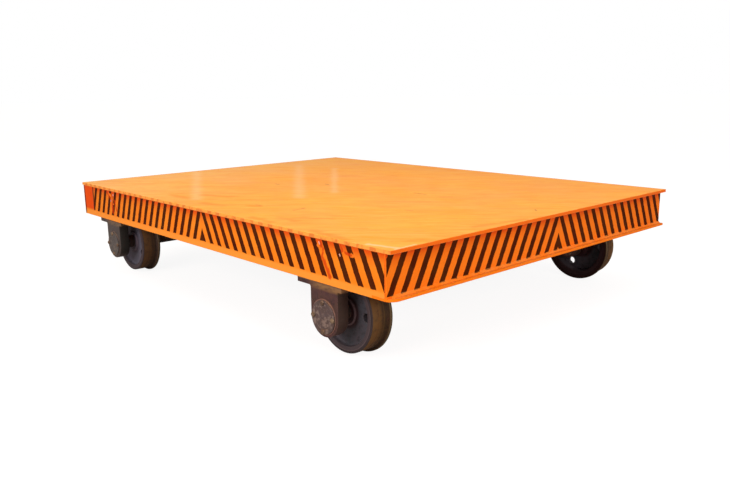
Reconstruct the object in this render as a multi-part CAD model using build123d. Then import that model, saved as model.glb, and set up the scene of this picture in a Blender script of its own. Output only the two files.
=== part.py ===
# Battery transfer cart: a thick steel deck on a low welded frame, carried by four
# flanged rail wheels. The rear wheels share one driven axle. Each front wheel turns
# on a short axle of its own. Batteries, controls and drive hang inside the frame.
#
# X runs forward, Y to the left, Z up. The origin lies under the middle of the deck,
# level with the lowest points of the wheel flanges. Lengths are in millimetres.

import os

from build123d import *

# Deck and the welded frame under it
deck_length = 4000
deck_width = 3000
deck_thickness = 22
deck_edge_chamfer = 2
frame_depth = 283
web_thickness = 12
bottom_flange_thickness = 16
side_recess = 8
front_web_recess = 38
front_flange_recess = 2
front_flange_inner_width = 102
front_root_rise = 14
front_root_reach = 12
rear_recess = 2
rear_flange_width = 110
flange_corner_radius = 60
stiffener_thickness = 10
stiffener_top_width = 60

# Beams inside the frame
main_flange_width = 150
main_flange_clearance = 15
section_flange_thickness = 14
cross_flange_width = 100
cross_beam_height = 200
cross_web_thickness = 8
cross_beam_count = 4
wheel_window_clearance = 60

# Running gear
tread_diameter = 510
wheel_flange_height = 20
axle_drop = 490
front_axle_setback = 574
rear_axle_setback = 549
wheel_setback = 165
wheel_width = 145
wheel_side_clearance = 20

# One wheel
wheel_flange_thickness = 25
wheel_flange_taper = 7
flange_root_chamfer = 8
flange_tip_chamfer = 5
rim_thickness = 42
rim_draft = 6
rim_edge_chamfer = 3
web_outer_recess = 28
wheel_web_thickness = 30
hub_diameter = 182
hub_draft = 5
hub_gap = 80
wheel_hole_diameter = 56
wheel_hole_circle_diameter = 348
wheel_hole_count = 3

# Axles
journal_diameter = 90
collar_diameter = 106
seat_diameter = 110
driven_axle_diameter = 114
running_clearance = 0.05
moving_clearance = 5
axle_end_gap = 6

# Outboard bearing housings and their covers
pad_thickness = 10
pad_inset = 12
housing_setback = 20
housing_thickness = 80
housing_foot_rear_reach = 247
housing_foot_front_reach = 157
housing_foot_thickness = 26
housing_body_width = 245
housing_corner_radius = 12
cap_diameter = 205
cap_thickness = 12
cap_edge_chamfer = 3

# Smaller inboard housings of the front wheels
inner_foot_length = 300
inner_foot_thickness = 22
inner_body_width = 150
inner_housing_thickness = 110
inner_end_wall = 12

# Gear reducer, motor and torque arm on the driven axle
reducer_offset = 260
reducer_thickness = 150
reducer_shaft_distance = 265
reducer_lower_radius = 150
reducer_upper_radius = 115
reducer_sleeve_radius = 85
reducer_sleeve_length = 25
reducer_edge_chamfer = 8
reducer_lug_reach = 150
reducer_lug_height = 44
torque_arm_height = 40
torque_arm_width = 60
torque_foot_thickness = 12
torque_foot_width = 130
torque_foot_height = 100
torque_foot_gap = 8
motor_flange_radius = 120
motor_flange_thickness = 18
motor_radius = 100
motor_length = 300
motor_cowl_radius = 108
motor_cowl_length = 70
motor_cowl_chamfer = 14
terminal_box_length = 110
terminal_box_width = 100
terminal_box_rise = 40

# Battery packs and control box, which drop in between two cross beams
pack_side_gap = 6
pack_end_gap = 15
pack_middle_gap = 40
pack_floor_gap = 10
pack_top_gap = 20
pack_edge_radius = 8
lip_thickness = 10
lip_overlap = 34
control_box_length = 700
control_box_height = 190

# Levels and places worked out from the sizes above
tread_radius = tread_diameter / 2
wheel_flange_radius = tread_radius + wheel_flange_height
axle_z = wheel_flange_radius
deck_top = axle_z + axle_drop
deck_under = deck_top - deck_thickness
frame_bottom = deck_top - frame_depth
flange_top = frame_bottom + bottom_flange_thickness
half_length = deck_length / 2
half_width = deck_width / 2
front_axle_x = half_length - front_axle_setback
rear_axle_x = rear_axle_setback - half_length
side_web_face = half_width - side_recess
side_web_inner = side_web_face - web_thickness
front_web_face = half_length - front_web_recess
front_web_inner = front_web_face - web_thickness
front_flange_inner = front_web_inner - front_flange_inner_width
rear_web_face = rear_recess - half_length
rear_web_inner = rear_web_face + web_thickness
rear_flange_inner = rear_web_inner + rear_flange_width
wheel_outer = half_width - wheel_setback
wheel_inner = wheel_outer - wheel_width
side_flange_inner = wheel_outer + wheel_side_clearance
main_beam_y = wheel_inner - main_flange_clearance - main_flange_width / 2
housing_outer = half_width - housing_setback
housing_inner = housing_outer - housing_thickness
hub_outer = housing_inner - hub_gap
foot_top = frame_bottom - pad_thickness
foot_bottom = foot_top - housing_foot_thickness
beam_top_under = deck_under - section_flange_thickness
cross_beam_bottom = deck_under - cross_beam_height
inner_housing_outer = main_beam_y + inner_housing_thickness / 2
inner_housing_inner = main_beam_y - inner_housing_thickness / 2
beam_ledge = cross_beam_bottom + section_flange_thickness
torque_arm_z = beam_ledge + torque_foot_gap + torque_foot_height / 2

# Cross beams stand just clear of the wheels, the others evenly between them
wheel_reach = wheel_flange_radius + wheel_window_clearance + cross_flange_width / 2
first_cross_beam = rear_axle_x + wheel_reach
last_cross_beam = front_axle_x - wheel_reach
cross_beam_pitch = (last_cross_beam - first_cross_beam) / (cross_beam_count - 1)
cross_beam_places = [first_cross_beam + cross_beam_pitch * i for i in range(cross_beam_count)]

# Wheel name, place of its axle along X, side (1 left, -1 right), angle of its first hole
wheels = [
    ("front_left", front_axle_x, 1, -120),
    ("front_right", front_axle_x, -1, -2),
    ("rear_left", rear_axle_x, 1, -84),
    ("rear_right", rear_axle_x, -1, -30),
]


def between(x_range, y_range, z_range):
    """A plate or block between three pairs of planes."""
    ranges = (x_range, y_range, z_range)
    size = [high - low for low, high in ranges]
    middle = [(high + low) / 2 for low, high in ranges]
    return Pos(*middle) * Box(*size)


def cylinder_along_y(radius, y_range, x=0, z=0):
    low, high = y_range
    return Pos(x, (low + high) / 2, z) * Rot(90, 0, 0) * Cylinder(radius, high - low)


def extruded_along_y(outline, y_range):
    """An outline drawn in X and Z, given thickness from one Y to the other."""
    low, high = y_range
    return Pos(0, high, 0) * extrude(Plane.XZ * outline, high - low)


def on_side(shape, side):
    """What is drawn on the left stays there for 1 and is mirrored for -1."""
    return shape if side > 0 else mirror(shape, about=Plane.XZ)


def deck_plate():
    plate = between(
        (-half_length, half_length), (-half_width, half_width), (deck_under, deck_top)
    )
    rim = plate.faces().sort_by(Axis.Z)[-1].edges()
    return chamfer(rim, deck_edge_chamfer)


def stiffener(x):
    """A gusset from the side web to the inner edge of its flange, narrower at the top."""
    outline = Polyline(
        (side_web_inner, flange_top),
        (side_flange_inner, flange_top),
        (side_web_inner - stiffener_top_width, deck_under),
        (side_web_inner, deck_under),
        close=True,
    )
    plate = extrude(Plane.YZ * make_face(outline), stiffener_thickness / 2, both=True)
    return Pos(x, 0, 0) * plate


def side_beam():
    """Left side, a channel with its back outward, with gussets and bearing pads."""
    beam = between(
        (rear_web_face, front_web_inner), (side_web_inner, side_web_face), (flange_top, deck_under)
    )
    beam += between(
        (rear_web_face, front_flange_inner),
        (side_flange_inner, side_web_face),
        (frame_bottom, flange_top),
    )
    for low, high in zip(cross_beam_places[:-1], cross_beam_places[1:]):
        beam += stiffener((low + high) / 2)
    pad_rear_reach = housing_foot_rear_reach - pad_inset
    pad_front_reach = housing_foot_front_reach - pad_inset
    for axle_x in (rear_axle_x, front_axle_x):
        for place in (-pad_rear_reach, 0, pad_front_reach):
            beam += stiffener(axle_x + place)
        beam += between(
            (axle_x - pad_rear_reach, axle_x + pad_front_reach),
            (housing_inner + pad_inset, housing_outer - pad_inset),
            (foot_top, frame_bottom),
        )
    return beam


def front_beam():
    """Full-width front member, with a flange each side of its web and a thick flange root.

    The right corner of the outer flange is rounded off and the left one is square.
    """
    y_range = (-side_web_face, side_web_face)
    web = between((front_web_inner, front_web_face), y_range, (flange_top, deck_under))
    toe = half_length - front_flange_recess
    flange = between((front_flange_inner, toe), y_range, (frame_bottom, flange_top))
    front_corners = flange.edges().filter_by(Axis.Z).group_by(Axis.X)[-1]
    flange = fillet(front_corners.sort_by(Axis.Y)[0], flange_corner_radius)
    root = Polyline(
        (front_web_face, flange_top),
        (front_web_face + front_root_reach, flange_top),
        (front_web_face, flange_top + front_root_rise),
        close=True,
    )
    root_end = flange_corner_radius / 2 - side_web_face
    return web + flange + extruded_along_y(make_face(root), (root_end, side_web_face))


def rear_beam():
    """Rear member between the side channels, with its web outward."""
    beam = between(
        (rear_web_face, rear_web_inner), (-side_web_inner, side_web_inner), (flange_top, deck_under)
    )
    beam += between(
        (rear_web_face, rear_flange_inner),
        (-side_flange_inner, side_flange_inner),
        (frame_bottom, flange_top),
    )
    return beam


def main_beam():
    """Left longitudinal beam, its bottom flange butted to those of the end members."""
    half_web = web_thickness / 2
    half_flange = main_flange_width / 2
    x_range = (rear_web_inner, front_web_inner)
    flange_y_range = (main_beam_y - half_flange, main_beam_y + half_flange)
    web = between(
        x_range, (main_beam_y - half_web, main_beam_y + half_web), (flange_top, deck_under)
    )
    top = between(x_range, flange_y_range, (beam_top_under, deck_under))
    bottom = between(
        (rear_flange_inner, front_flange_inner), flange_y_range, (frame_bottom, flange_top)
    )
    return web + top + bottom


def coped_beam(x, web_range, top_range):
    """An I-beam along Y whose top flange stops short of the beams that it meets."""
    half_web = cross_web_thickness / 2
    half_flange = cross_flange_width / 2
    web = between((x - half_web, x + half_web), web_range, (cross_beam_bottom, beam_top_under))
    top = between((x - half_flange, x + half_flange), top_range, (beam_top_under, deck_under))
    bottom = between(
        (x - half_flange, x + half_flange),
        web_range,
        (cross_beam_bottom, cross_beam_bottom + section_flange_thickness),
    )
    return web + top + bottom


def cross_beam(x):
    web_reach = main_beam_y - web_thickness / 2
    top_reach = main_beam_y - main_flange_width / 2
    return coped_beam(x, (-web_reach, web_reach), (-top_reach, top_reach))


def outrigger(x):
    web_start = main_beam_y + web_thickness / 2
    top_start = main_beam_y + main_flange_width / 2
    return coped_beam(x, (web_start, side_web_inner), (top_start, side_web_inner))


def hung_housing(foot, body_width, y_range, bore_range):
    """A cast block with a round lower end, hung from a foot that bolts to the frame.

    The foot is given by its reach to the rear and to the front, and its two levels.
    """
    rear_reach, front_reach, low, high = foot
    foot_centre = Pos((front_reach - rear_reach) / 2, (low + high) / 2)
    outline = foot_centre * Rectangle(rear_reach + front_reach, high - low)
    outline += Pos(0, (axle_z + low) / 2) * Rectangle(body_width, low - axle_z)
    outline += Pos(0, axle_z) * Circle(body_width / 2)
    body = extruded_along_y(outline, y_range)
    inside_corners = [
        edge
        for edge in body.edges().filter_by(Axis.Y)
        if abs(edge.center().Z - low) < running_clearance
        and abs(abs(edge.center().X) - body_width / 2) < running_clearance
    ]
    body = fillet(inside_corners, housing_corner_radius)
    return body - cylinder_along_y(journal_diameter / 2 + running_clearance, bore_range, z=axle_z)


def bearing_housing(axle_x):
    foot = (housing_foot_rear_reach, housing_foot_front_reach, foot_bottom, foot_top)
    y_range = (housing_inner, housing_outer)
    return Pos(axle_x, 0, 0) * hung_housing(foot, housing_body_width, y_range, y_range)


def housing_cap(axle_x):
    cap = cylinder_along_y(
        cap_diameter / 2, (housing_outer, housing_outer + cap_thickness), axle_x, axle_z
    )
    return chamfer(cap.faces().sort_by(Axis.Y)[-1].edges(), cap_edge_chamfer)


def inner_bearing(axle_x):
    half_foot = inner_foot_length / 2
    foot = (half_foot, half_foot, frame_bottom - inner_foot_thickness, frame_bottom)
    y_range = (inner_housing_inner, inner_housing_outer)
    bore_range = (inner_housing_inner + inner_end_wall, inner_housing_outer)
    return Pos(axle_x, 0, 0) * hung_housing(foot, inner_body_width, y_range, bore_range)


def rail_wheel(axle_x, first_hole_angle):
    """A cast wheel with one flange on its inboard side, turned about Y on the left."""
    bore = seat_diameter / 2 + running_clearance
    hub = hub_diameter / 2
    rim_inner = tread_radius - rim_thickness
    web_outer = wheel_outer - web_outer_recess
    web_inner = web_outer - wheel_web_thickness
    flange_face = wheel_inner + wheel_flange_thickness
    # Radius, place along the axle
    profile = [
        (bore, hub_outer),
        (hub - hub_draft, hub_outer),
        (hub, web_outer),
        (rim_inner - rim_draft, web_outer),
        (rim_inner, wheel_outer),
        (tread_radius - rim_edge_chamfer, wheel_outer),
        (tread_radius, wheel_outer - rim_edge_chamfer),
        (tread_radius, flange_face + flange_root_chamfer),
        (tread_radius + flange_root_chamfer, flange_face),
        (wheel_flange_radius, flange_face - wheel_flange_taper),
        (wheel_flange_radius, wheel_inner + flange_tip_chamfer),
        (wheel_flange_radius - flange_tip_chamfer, wheel_inner),
        (rim_inner, wheel_inner),
        (rim_inner - rim_draft, web_inner),
        (hub, web_inner),
        (hub - hub_draft, wheel_inner),
        (bore, wheel_inner),
    ]
    wheel = revolve(make_face(Polyline(*profile, close=True)), Axis.Y)
    for i in range(wheel_hole_count):
        turn = Rot(0, -first_hole_angle - i * 360 / wheel_hole_count, 0)
        hole = cylinder_along_y(
            wheel_hole_diameter / 2, (wheel_inner, wheel_outer), wheel_hole_circle_diameter / 2
        )
        wheel -= turn * hole
    return Pos(axle_x, 0, axle_z) * wheel


def turned_axle(steps, axle_x):
    """A stepped shaft along Y. Each step gives where it starts and ends, and its diameter."""
    shaft = None
    for low, high, diameter in steps:
        step = cylinder_along_y(diameter / 2, (low, high), axle_x, axle_z)
        shaft = step if shaft is None else shaft + step
    return shaft


def stub_axle(axle_x):
    inner_collar = inner_housing_outer + moving_clearance
    outer_collar = housing_inner - moving_clearance
    steps = [
        (inner_housing_inner + inner_end_wall + moving_clearance, inner_collar, journal_diameter),
        (inner_collar, wheel_inner, collar_diameter),
        (wheel_inner, hub_outer, seat_diameter),
        (hub_outer, outer_collar, collar_diameter),
        (outer_collar, housing_outer - axle_end_gap, journal_diameter),
    ]
    return turned_axle(steps, axle_x)


def driven_axle(axle_x):
    outer_collar = housing_inner - moving_clearance
    axle_end = housing_outer - axle_end_gap
    steps = [
        (-axle_end, -outer_collar, journal_diameter),
        (-outer_collar, -hub_outer, collar_diameter),
        (-hub_outer, -wheel_inner, seat_diameter),
        (-wheel_inner, wheel_inner, driven_axle_diameter),
        (wheel_inner, hub_outer, seat_diameter),
        (hub_outer, outer_collar, collar_diameter),
        (outer_collar, axle_end, journal_diameter),
    ]
    return turned_axle(steps, axle_x)


reducer_y_range = (
    reducer_offset - reducer_thickness / 2,
    reducer_offset + reducer_thickness / 2,
)
input_shaft_z = axle_z + reducer_shaft_distance


def gear_reducer():
    """A flat upright casing that hangs on the driven axle and reaches up into the frame."""
    rounds = [
        Pos(0, axle_z) * CenterArc((0, 0), reducer_lower_radius, 0, 360),
        Pos(0, input_shaft_z) * CenterArc((0, 0), reducer_upper_radius, 0, 360),
    ]
    casing = extruded_along_y(make_hull([arc.edge() for arc in rounds]), reducer_y_range)
    for face in (casing.faces().sort_by(Axis.Y)[-1], casing.faces().sort_by(Axis.Y)[0]):
        casing = chamfer(face.edges(), reducer_edge_chamfer)
    low, high = reducer_y_range
    sleeve_range = (low - reducer_sleeve_length, high + reducer_sleeve_length)
    casing += cylinder_along_y(reducer_sleeve_radius, sleeve_range, z=axle_z)
    casing += between(
        (0, reducer_lug_reach),
        (reducer_offset - torque_arm_width / 2, reducer_offset + torque_arm_width / 2),
        (torque_arm_z - reducer_lug_height / 2, torque_arm_z + reducer_lug_height / 2),
    )
    bore = driven_axle_diameter / 2 + running_clearance
    casing -= cylinder_along_y(bore, sleeve_range, z=axle_z)
    return Pos(rear_axle_x, 0, 0) * casing


def drive_motor():
    start = reducer_y_range[1]
    flange_end = start + motor_flange_thickness
    stator_end = flange_end + motor_length
    cowl_end = stator_end + motor_cowl_length
    cowl = cylinder_along_y(motor_cowl_radius, (stator_end, cowl_end), z=input_shaft_z)
    cowl = chamfer(cowl.faces().sort_by(Axis.Y)[-1].edges(), motor_cowl_chamfer)
    motor = cylinder_along_y(motor_flange_radius, (start, flange_end), z=input_shaft_z)
    motor += cylinder_along_y(motor_radius, (flange_end, stator_end), z=input_shaft_z)
    motor += cowl
    box_middle = (flange_end + stator_end) / 2
    motor += between(
        (-terminal_box_width / 2, terminal_box_width / 2),
        (box_middle - terminal_box_length / 2, box_middle + terminal_box_length / 2),
        (input_shaft_z, input_shaft_z + motor_radius + terminal_box_rise),
    )
    return Pos(rear_axle_x, 0, 0) * motor


def torque_arm():
    """The strut that keeps the reducer from turning, bolted to the nearest cross beam."""
    start = rear_axle_x + reducer_lug_reach
    web_face = first_cross_beam - cross_web_thickness / 2
    arm = between(
        (start, web_face - torque_foot_thickness),
        (reducer_offset - torque_arm_width / 2, reducer_offset + torque_arm_width / 2),
        (torque_arm_z - torque_arm_height / 2, torque_arm_z + torque_arm_height / 2),
    )
    foot = between(
        (web_face - torque_foot_thickness, web_face),
        (reducer_offset - torque_foot_width / 2, reducer_offset + torque_foot_width / 2),
        (torque_arm_z - torque_foot_height / 2, torque_arm_z + torque_foot_height / 2),
    )
    return arm + foot


def hung_box(rear_beam, front_beam, y_range, z_range):
    """A box between two cross beams, with lips that rest on their bottom flanges."""
    reach = cross_flange_width / 2 + pack_side_gap
    x_range = (rear_beam + reach, front_beam - reach)
    body = between(x_range, y_range, z_range)
    body = fillet(body.edges().filter_by(Axis.Z), pack_edge_radius)
    lips = between(
        (x_range[0] - lip_overlap, x_range[1] + lip_overlap),
        (y_range[0] + pack_edge_radius, y_range[1] - pack_edge_radius),
        (beam_ledge, beam_ledge + lip_thickness),
    )
    return body + lips


def battery_pack():
    y_range = (pack_middle_gap / 2, main_beam_y - main_flange_width / 2 - pack_end_gap)
    z_range = (frame_bottom + pack_floor_gap, deck_under - pack_top_gap)
    return hung_box(cross_beam_places[1], cross_beam_places[2], y_range, z_range)


def control_box():
    top = deck_under - pack_top_gap
    y_range = (-control_box_length / 2, control_box_length / 2)
    z_range = (top - control_box_height, top)
    return hung_box(cross_beam_places[2], cross_beam_places[3], y_range, z_range)


def cart():
    """Every piece by its name."""
    pieces = {"deck_plate": deck_plate()}
    for name, side in (("left", 1), ("right", -1)):
        pieces[f"side_beam_{name}"] = on_side(side_beam(), side)
        pieces[f"main_beam_{name}"] = on_side(main_beam(), side)
        pieces[f"battery_pack_{name}"] = on_side(battery_pack(), side)
        pieces[f"inner_bearing_{name}"] = on_side(inner_bearing(front_axle_x), side)
        pieces[f"stub_axle_{name}"] = on_side(stub_axle(front_axle_x), side)
        for i, x in enumerate(cross_beam_places, start=1):
            pieces[f"outrigger_{name}_{i}"] = on_side(outrigger(x), side)
    pieces["end_beam_front"] = front_beam()
    pieces["end_beam_rear"] = rear_beam()
    for i, x in enumerate(cross_beam_places, start=1):
        pieces[f"cross_beam_{i}"] = cross_beam(x)
    for name, axle_x, side, hole_angle in wheels:
        pieces[f"wheel_{name}"] = on_side(rail_wheel(axle_x, hole_angle), side)
        pieces[f"bearing_housing_{name}"] = on_side(bearing_housing(axle_x), side)
        pieces[f"housing_cap_{name}"] = on_side(housing_cap(axle_x), side)
    pieces["rear_axle"] = driven_axle(rear_axle_x)
    pieces["gear_reducer"] = gear_reducer()
    pieces["drive_motor"] = drive_motor()
    pieces["torque_arm"] = torque_arm()
    pieces["control_box"] = control_box()
    return pieces


os.makedirs("parts", exist_ok=True)
for name, piece in cart().items():
    export_step(piece, f"parts/{name}.step")
    print(name, round(piece.volume / 1000000, 2), "litres")
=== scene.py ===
# %% [markdown]
# # Battery transfer cart
# This cart carries heavy loads a short way along a pair of rails, inside a works. A thick
# steel deck lies on a low welded frame, four flanged wheels hang below it in cast housings,
# and batteries, controls and a geared motor are tucked away inside the frame.
#
# The solid pieces are already modelled at their real size. This lesson dresses them: it
# turns the castings again with rounded edges, adds bolts and welds, and mixes the worn
# paints and metals. We start by loading the solids, which stay exactly where they are.

# %% Load the cart's solids
import math
import random

import bmesh
import bpy
from mathutils import Matrix, Vector


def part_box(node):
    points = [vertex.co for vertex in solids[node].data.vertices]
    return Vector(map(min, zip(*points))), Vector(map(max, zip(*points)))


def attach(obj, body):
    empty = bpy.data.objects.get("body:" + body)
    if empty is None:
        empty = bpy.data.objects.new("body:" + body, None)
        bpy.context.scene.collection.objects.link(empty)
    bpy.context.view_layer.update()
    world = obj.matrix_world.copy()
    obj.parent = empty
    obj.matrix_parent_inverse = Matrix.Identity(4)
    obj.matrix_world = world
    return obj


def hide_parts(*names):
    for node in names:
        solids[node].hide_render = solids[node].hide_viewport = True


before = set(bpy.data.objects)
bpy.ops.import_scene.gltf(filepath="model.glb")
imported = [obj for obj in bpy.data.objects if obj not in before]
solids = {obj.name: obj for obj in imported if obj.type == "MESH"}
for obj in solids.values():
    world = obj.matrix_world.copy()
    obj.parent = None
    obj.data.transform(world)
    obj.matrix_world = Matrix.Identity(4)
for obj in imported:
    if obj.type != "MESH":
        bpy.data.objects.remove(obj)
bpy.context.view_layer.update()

# %% [markdown]
# Every later size is measured from the solids or named here once, in metres. The cart's
# own axes are X forward, Y to the left and Z up, with the ground at zero.

# %% Places that the rest is worked out from
deck_low, deck_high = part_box("deck_plate")
frame_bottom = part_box("end_beam_front")[0].z
side_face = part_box("side_beam_left")[1].y
end_overhang, side_plate = 0.038, 0.012
front_web_face, web_inner = deck_high.x - end_overhang, side_face - side_plate
axles = {"front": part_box("wheel_front_left"), "rear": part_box("wheel_rear_left")}
axle_x = {end: (low.x + high.x) / 2 for end, (low, high) in axles.items()}
wheel_inner, wheel_outer = axles["front"][0].y, axles["front"][1].y
axle_z = (axles["front"][0].z + axles["front"][1].z) / 2
corners = [(end, side) for end in ("front", "rear") for side in ("left", "right")]
side_sign = {"left": 1, "right": -1}
print("axles at", axle_x, "height", round(axle_z, 3))

# %% [markdown]
# ## Camera
# The photograph was taken by someone who stood off the front right corner, at eye height.
# A camera can be aimed with a tracking constraint, but here three angles were solved from
# the outline of the deck, so it is simply turned by them: heading, tilt and a slight roll.

# %% Camera at the photographer's place
photo_width_px, focal_length_px, sensor_width_mm = 730, 723.6, 36.0
camera_place = Vector((4.566, -3.998, 1.586))
heading, tilt, roll = math.radians(137.82), math.radians(-12.31), math.radians(-0.81)

lens = bpy.data.cameras.new("photo_camera")
lens.sensor_fit = "HORIZONTAL"
lens.sensor_width = sensor_width_mm
lens.lens = focal_length_px / photo_width_px * sensor_width_mm
camera = bpy.data.objects.new("photo_camera", lens)
camera.matrix_world = (
    Matrix.Translation(camera_place)
    @ Matrix.Rotation(heading - math.pi / 2, 4, "Z")
    @ Matrix.Rotation(math.pi / 2 + tilt, 4, "X")
    @ Matrix.Rotation(roll, 4, "Z")
)
bpy.context.scene.collection.objects.link(camera)
bpy.context.scene.camera = camera
print("lens", round(lens.lens, 2), "mm")

# %% [markdown]
# ## Floor and light
# The cart is shown in a white studio. A white floor could be had by flooding it with light,
# but the light that it throws back would then wash out the paint and the dark running gear.
# So the floor and the sky look white to the camera alone, by the Light Path node, and light
# the cart as a pale grey floor and a soft sky do.

# %% Floor and sky
def white_to_camera(tree, output, lit, white, share):
    """What lights the cart is one shader, and what the camera sees is mostly the other."""
    ray = tree.nodes.new("ShaderNodeLightPath").outputs["Is Camera Ray"]
    seen = tree.nodes.new("ShaderNodeMath")
    seen.operation = "MULTIPLY"
    tree.links.new(ray, seen.inputs[0])
    seen.inputs[1].default_value = share
    mixed = tree.nodes.new("ShaderNodeMixShader")
    tree.links.new(seen.outputs[0], mixed.inputs[0])
    tree.links.new(lit.outputs[0], mixed.inputs[1])
    tree.links.new(white.outputs[0], mixed.inputs[2])
    tree.links.new(mixed.outputs[0], output.inputs["Surface"])


floor_radius = 90.0
bpy.ops.mesh.primitive_circle_add(vertices=128, radius=floor_radius, fill_type="NGON")
floor = bpy.context.object
floor.name = "studio_floor"
floor_paint = bpy.data.materials.new("studio_floor_paint")
floor_paint.use_nodes = True
floor_nodes = floor_paint.node_tree.nodes
floor_nodes["Principled BSDF"].inputs["Base Color"].default_value = (0.42, 0.36, 0.33, 1)
floor_nodes["Principled BSDF"].inputs["Roughness"].default_value = 0.8
floor_white = floor_nodes.new("ShaderNodeEmission")
floor_white.inputs["Strength"].default_value = 1.8
# The floor keeps half of its own shading, so that the cart throws a faint shadow on it
white_to_camera(
    floor_paint.node_tree, floor_nodes["Material Output"], floor_nodes["Principled BSDF"], floor_white, 0.5
)
floor.data.materials.append(floor_paint)

world = bpy.data.worlds.new("studio_sky")
bpy.context.scene.world = world
world.use_nodes = True
sky_nodes = world.node_tree.nodes
sky_nodes["Background"].inputs["Color"].default_value = (1.0, 0.985, 0.96, 1)
sky_nodes["Background"].inputs["Strength"].default_value = 0.5
sky_white = sky_nodes.new("ShaderNodeBackground")
sky_white.inputs["Color"].default_value = (1.0, 1.0, 1.0, 1)
sky_white.inputs["Strength"].default_value = 1.0
white_to_camera(world.node_tree, sky_nodes["World Output"], sky_nodes["Background"], sky_white, 1.0)
bpy.context.scene.view_settings.view_transform = "Standard"
print("floor", floor_radius, "m in radius")

# %% [markdown]
# A works is lit from its roof and through wide windows. One lamp stands for the roof and two
# for the windows. A sun lamp would be simpler, but its shadows are hard, and the shadows of
# large lamps are soft.

# %% Lamps over the cart and beside it
# Name, place, width, height, power in watts
lamps = [
    ("roof_light", (0.5, -1.0, 6.5), 5.0, 5.0, 190.0),
    ("window_side", (1.5, -8.5, 3.6), 6.0, 3.0, 420.0),
    ("window_front", (8.5, -1.0, 3.2), 4.5, 2.5, 260.0),
]
for name, place, width, height, power in lamps:
    lamp = bpy.data.lights.new(name, "AREA")
    lamp.shape = "RECTANGLE"
    lamp.size, lamp.size_y, lamp.energy = width, height, power
    holder = bpy.data.objects.new(name, lamp)
    holder.location = place
    holder.rotation_euler = (Vector((0, 0, 0.5)) - Vector(place)).to_track_quat("-Z", "Y").to_euler()
    bpy.context.scene.collection.objects.link(holder)
print(len(lamps), "lamps")

# %% [markdown]
# ## Small helpers for shader trees
# A material in Blender is a graph of nodes. Placing them one by one is wordy, so a short
# helper makes a node, sets its inputs and links any input that comes from another node.

# %% Helpers that wire shader nodes
def add_node(tree, kind, inputs=None, **settings):
    """One shader node. An input may be a plain value or the output of another node."""
    made = tree.nodes.new(kind)
    for name, value in settings.items():
        setattr(made, name, value)
    for name, value in (inputs or {}).items():
        if isinstance(value, bpy.types.NodeSocket):
            tree.links.new(value, made.inputs[name])
        else:
            made.inputs[name].default_value = value
    return made


def calculate(tree, operation, *values):
    inputs = dict(enumerate(values))
    return add_node(tree, "ShaderNodeMath", inputs, operation=operation).outputs[0]


def remap(tree, value, low, high, to_low=0.0, to_high=1.0):
    """Stretches the part of a value from low to high over a new range, with soft ends."""
    inputs = {"Value": value, "From Min": low, "From Max": high, "To Min": to_low, "To Max": to_high}
    made = add_node(tree, "ShaderNodeMapRange", inputs, interpolation_type="SMOOTHSTEP")
    return made.outputs["Result"]


def blend_colours(tree, share, first, second, mode="MIX"):
    """Input 0 of a colour mix is its share, 6 and 7 are the two colours and output 2 the result."""
    return add_node(
        tree, "ShaderNodeMix", {0: share, 6: first, 7: second}, data_type="RGBA", blend_type=mode
    ).outputs[2]


def noise_value(tree, vector, scale, detail=4.0, roughness=0.55):
    inputs = {"Vector": vector, "Scale": scale, "Detail": detail, "Roughness": roughness}
    return add_node(tree, "ShaderNodeTexNoise", inputs).outputs["Fac"]


def object_place(tree):
    """The place on the piece in metres, which moves with the piece."""
    return add_node(tree, "ShaderNodeTexCoord").outputs["Object"]


def split_place(tree, vector):
    made = add_node(tree, "ShaderNodeSeparateXYZ", {"Vector": vector})
    return made.outputs["X"], made.outputs["Y"], made.outputs["Z"]


print("shader helpers ready")

# %% [markdown]
# An effect that several finishes share is best kept as a node group, which has sockets of
# its own. A material then only says how strong the effect is, and a change to the group
# shows in all of them. Both a group and a material need a few lines to set up.

# %% New groups and new materials
def new_group(name, inputs, outputs):
    """An empty shader group. Inputs have starting values, and those of three parts are vectors."""
    group = bpy.data.node_groups.new(name, "ShaderNodeTree")
    for socket, value in inputs.items():
        kind = "Vector" if isinstance(value, tuple) else "Float"
        made = group.interface.new_socket(socket, in_out="INPUT", socket_type=f"NodeSocket{kind}")
        made.default_value = value
    for socket, kind in outputs.items():
        group.interface.new_socket(socket, in_out="OUTPUT", socket_type=f"NodeSocket{kind}")
    start = group.nodes.new("NodeGroupInput")
    end = group.nodes.new("NodeGroupOutput")
    return group, start.outputs, end.inputs


def use_group(tree, group, inputs=None):
    return add_node(tree, "ShaderNodeGroup", inputs, node_tree=group).outputs


def new_material(name, **fixed):
    """A Principled material. What is the same all over is set straight on the shader."""
    material = bpy.data.materials.new(name)
    material.use_nodes = True
    shader = material.node_tree.nodes["Principled BSDF"]
    for socket, value in fixed.items():
        shader.inputs[socket.replace("_", " ")].default_value = value
    return material, material.node_tree, shader.inputs


print("groups and materials can be made")

# %% [markdown]
# ## Shared effects
# Wear is never even. Patches of dirt, chips and rust all come from the same recipe: noise
# in the piece's own coordinates, stretched and then cut off at a level. As a node group it
# is built once and each material gives it a scale, a stretch and how much it covers.

# %% Group: uneven patches
patches, given, result = new_group(
    "uneven_patches",
    {"Vector": (0, 0, 0), "Stretch": (1, 1, 1), "Scale": 5.0, "Coverage": 0.3, "Softness": 0.1},
    {"Mask": "Float"},
)
stretched = add_node(
    patches, "ShaderNodeVectorMath", {0: given["Vector"], 1: given["Stretch"]}, operation="MULTIPLY"
).outputs[0]
grain = noise_value(patches, stretched, given["Scale"], 7.0, 0.6)
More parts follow.
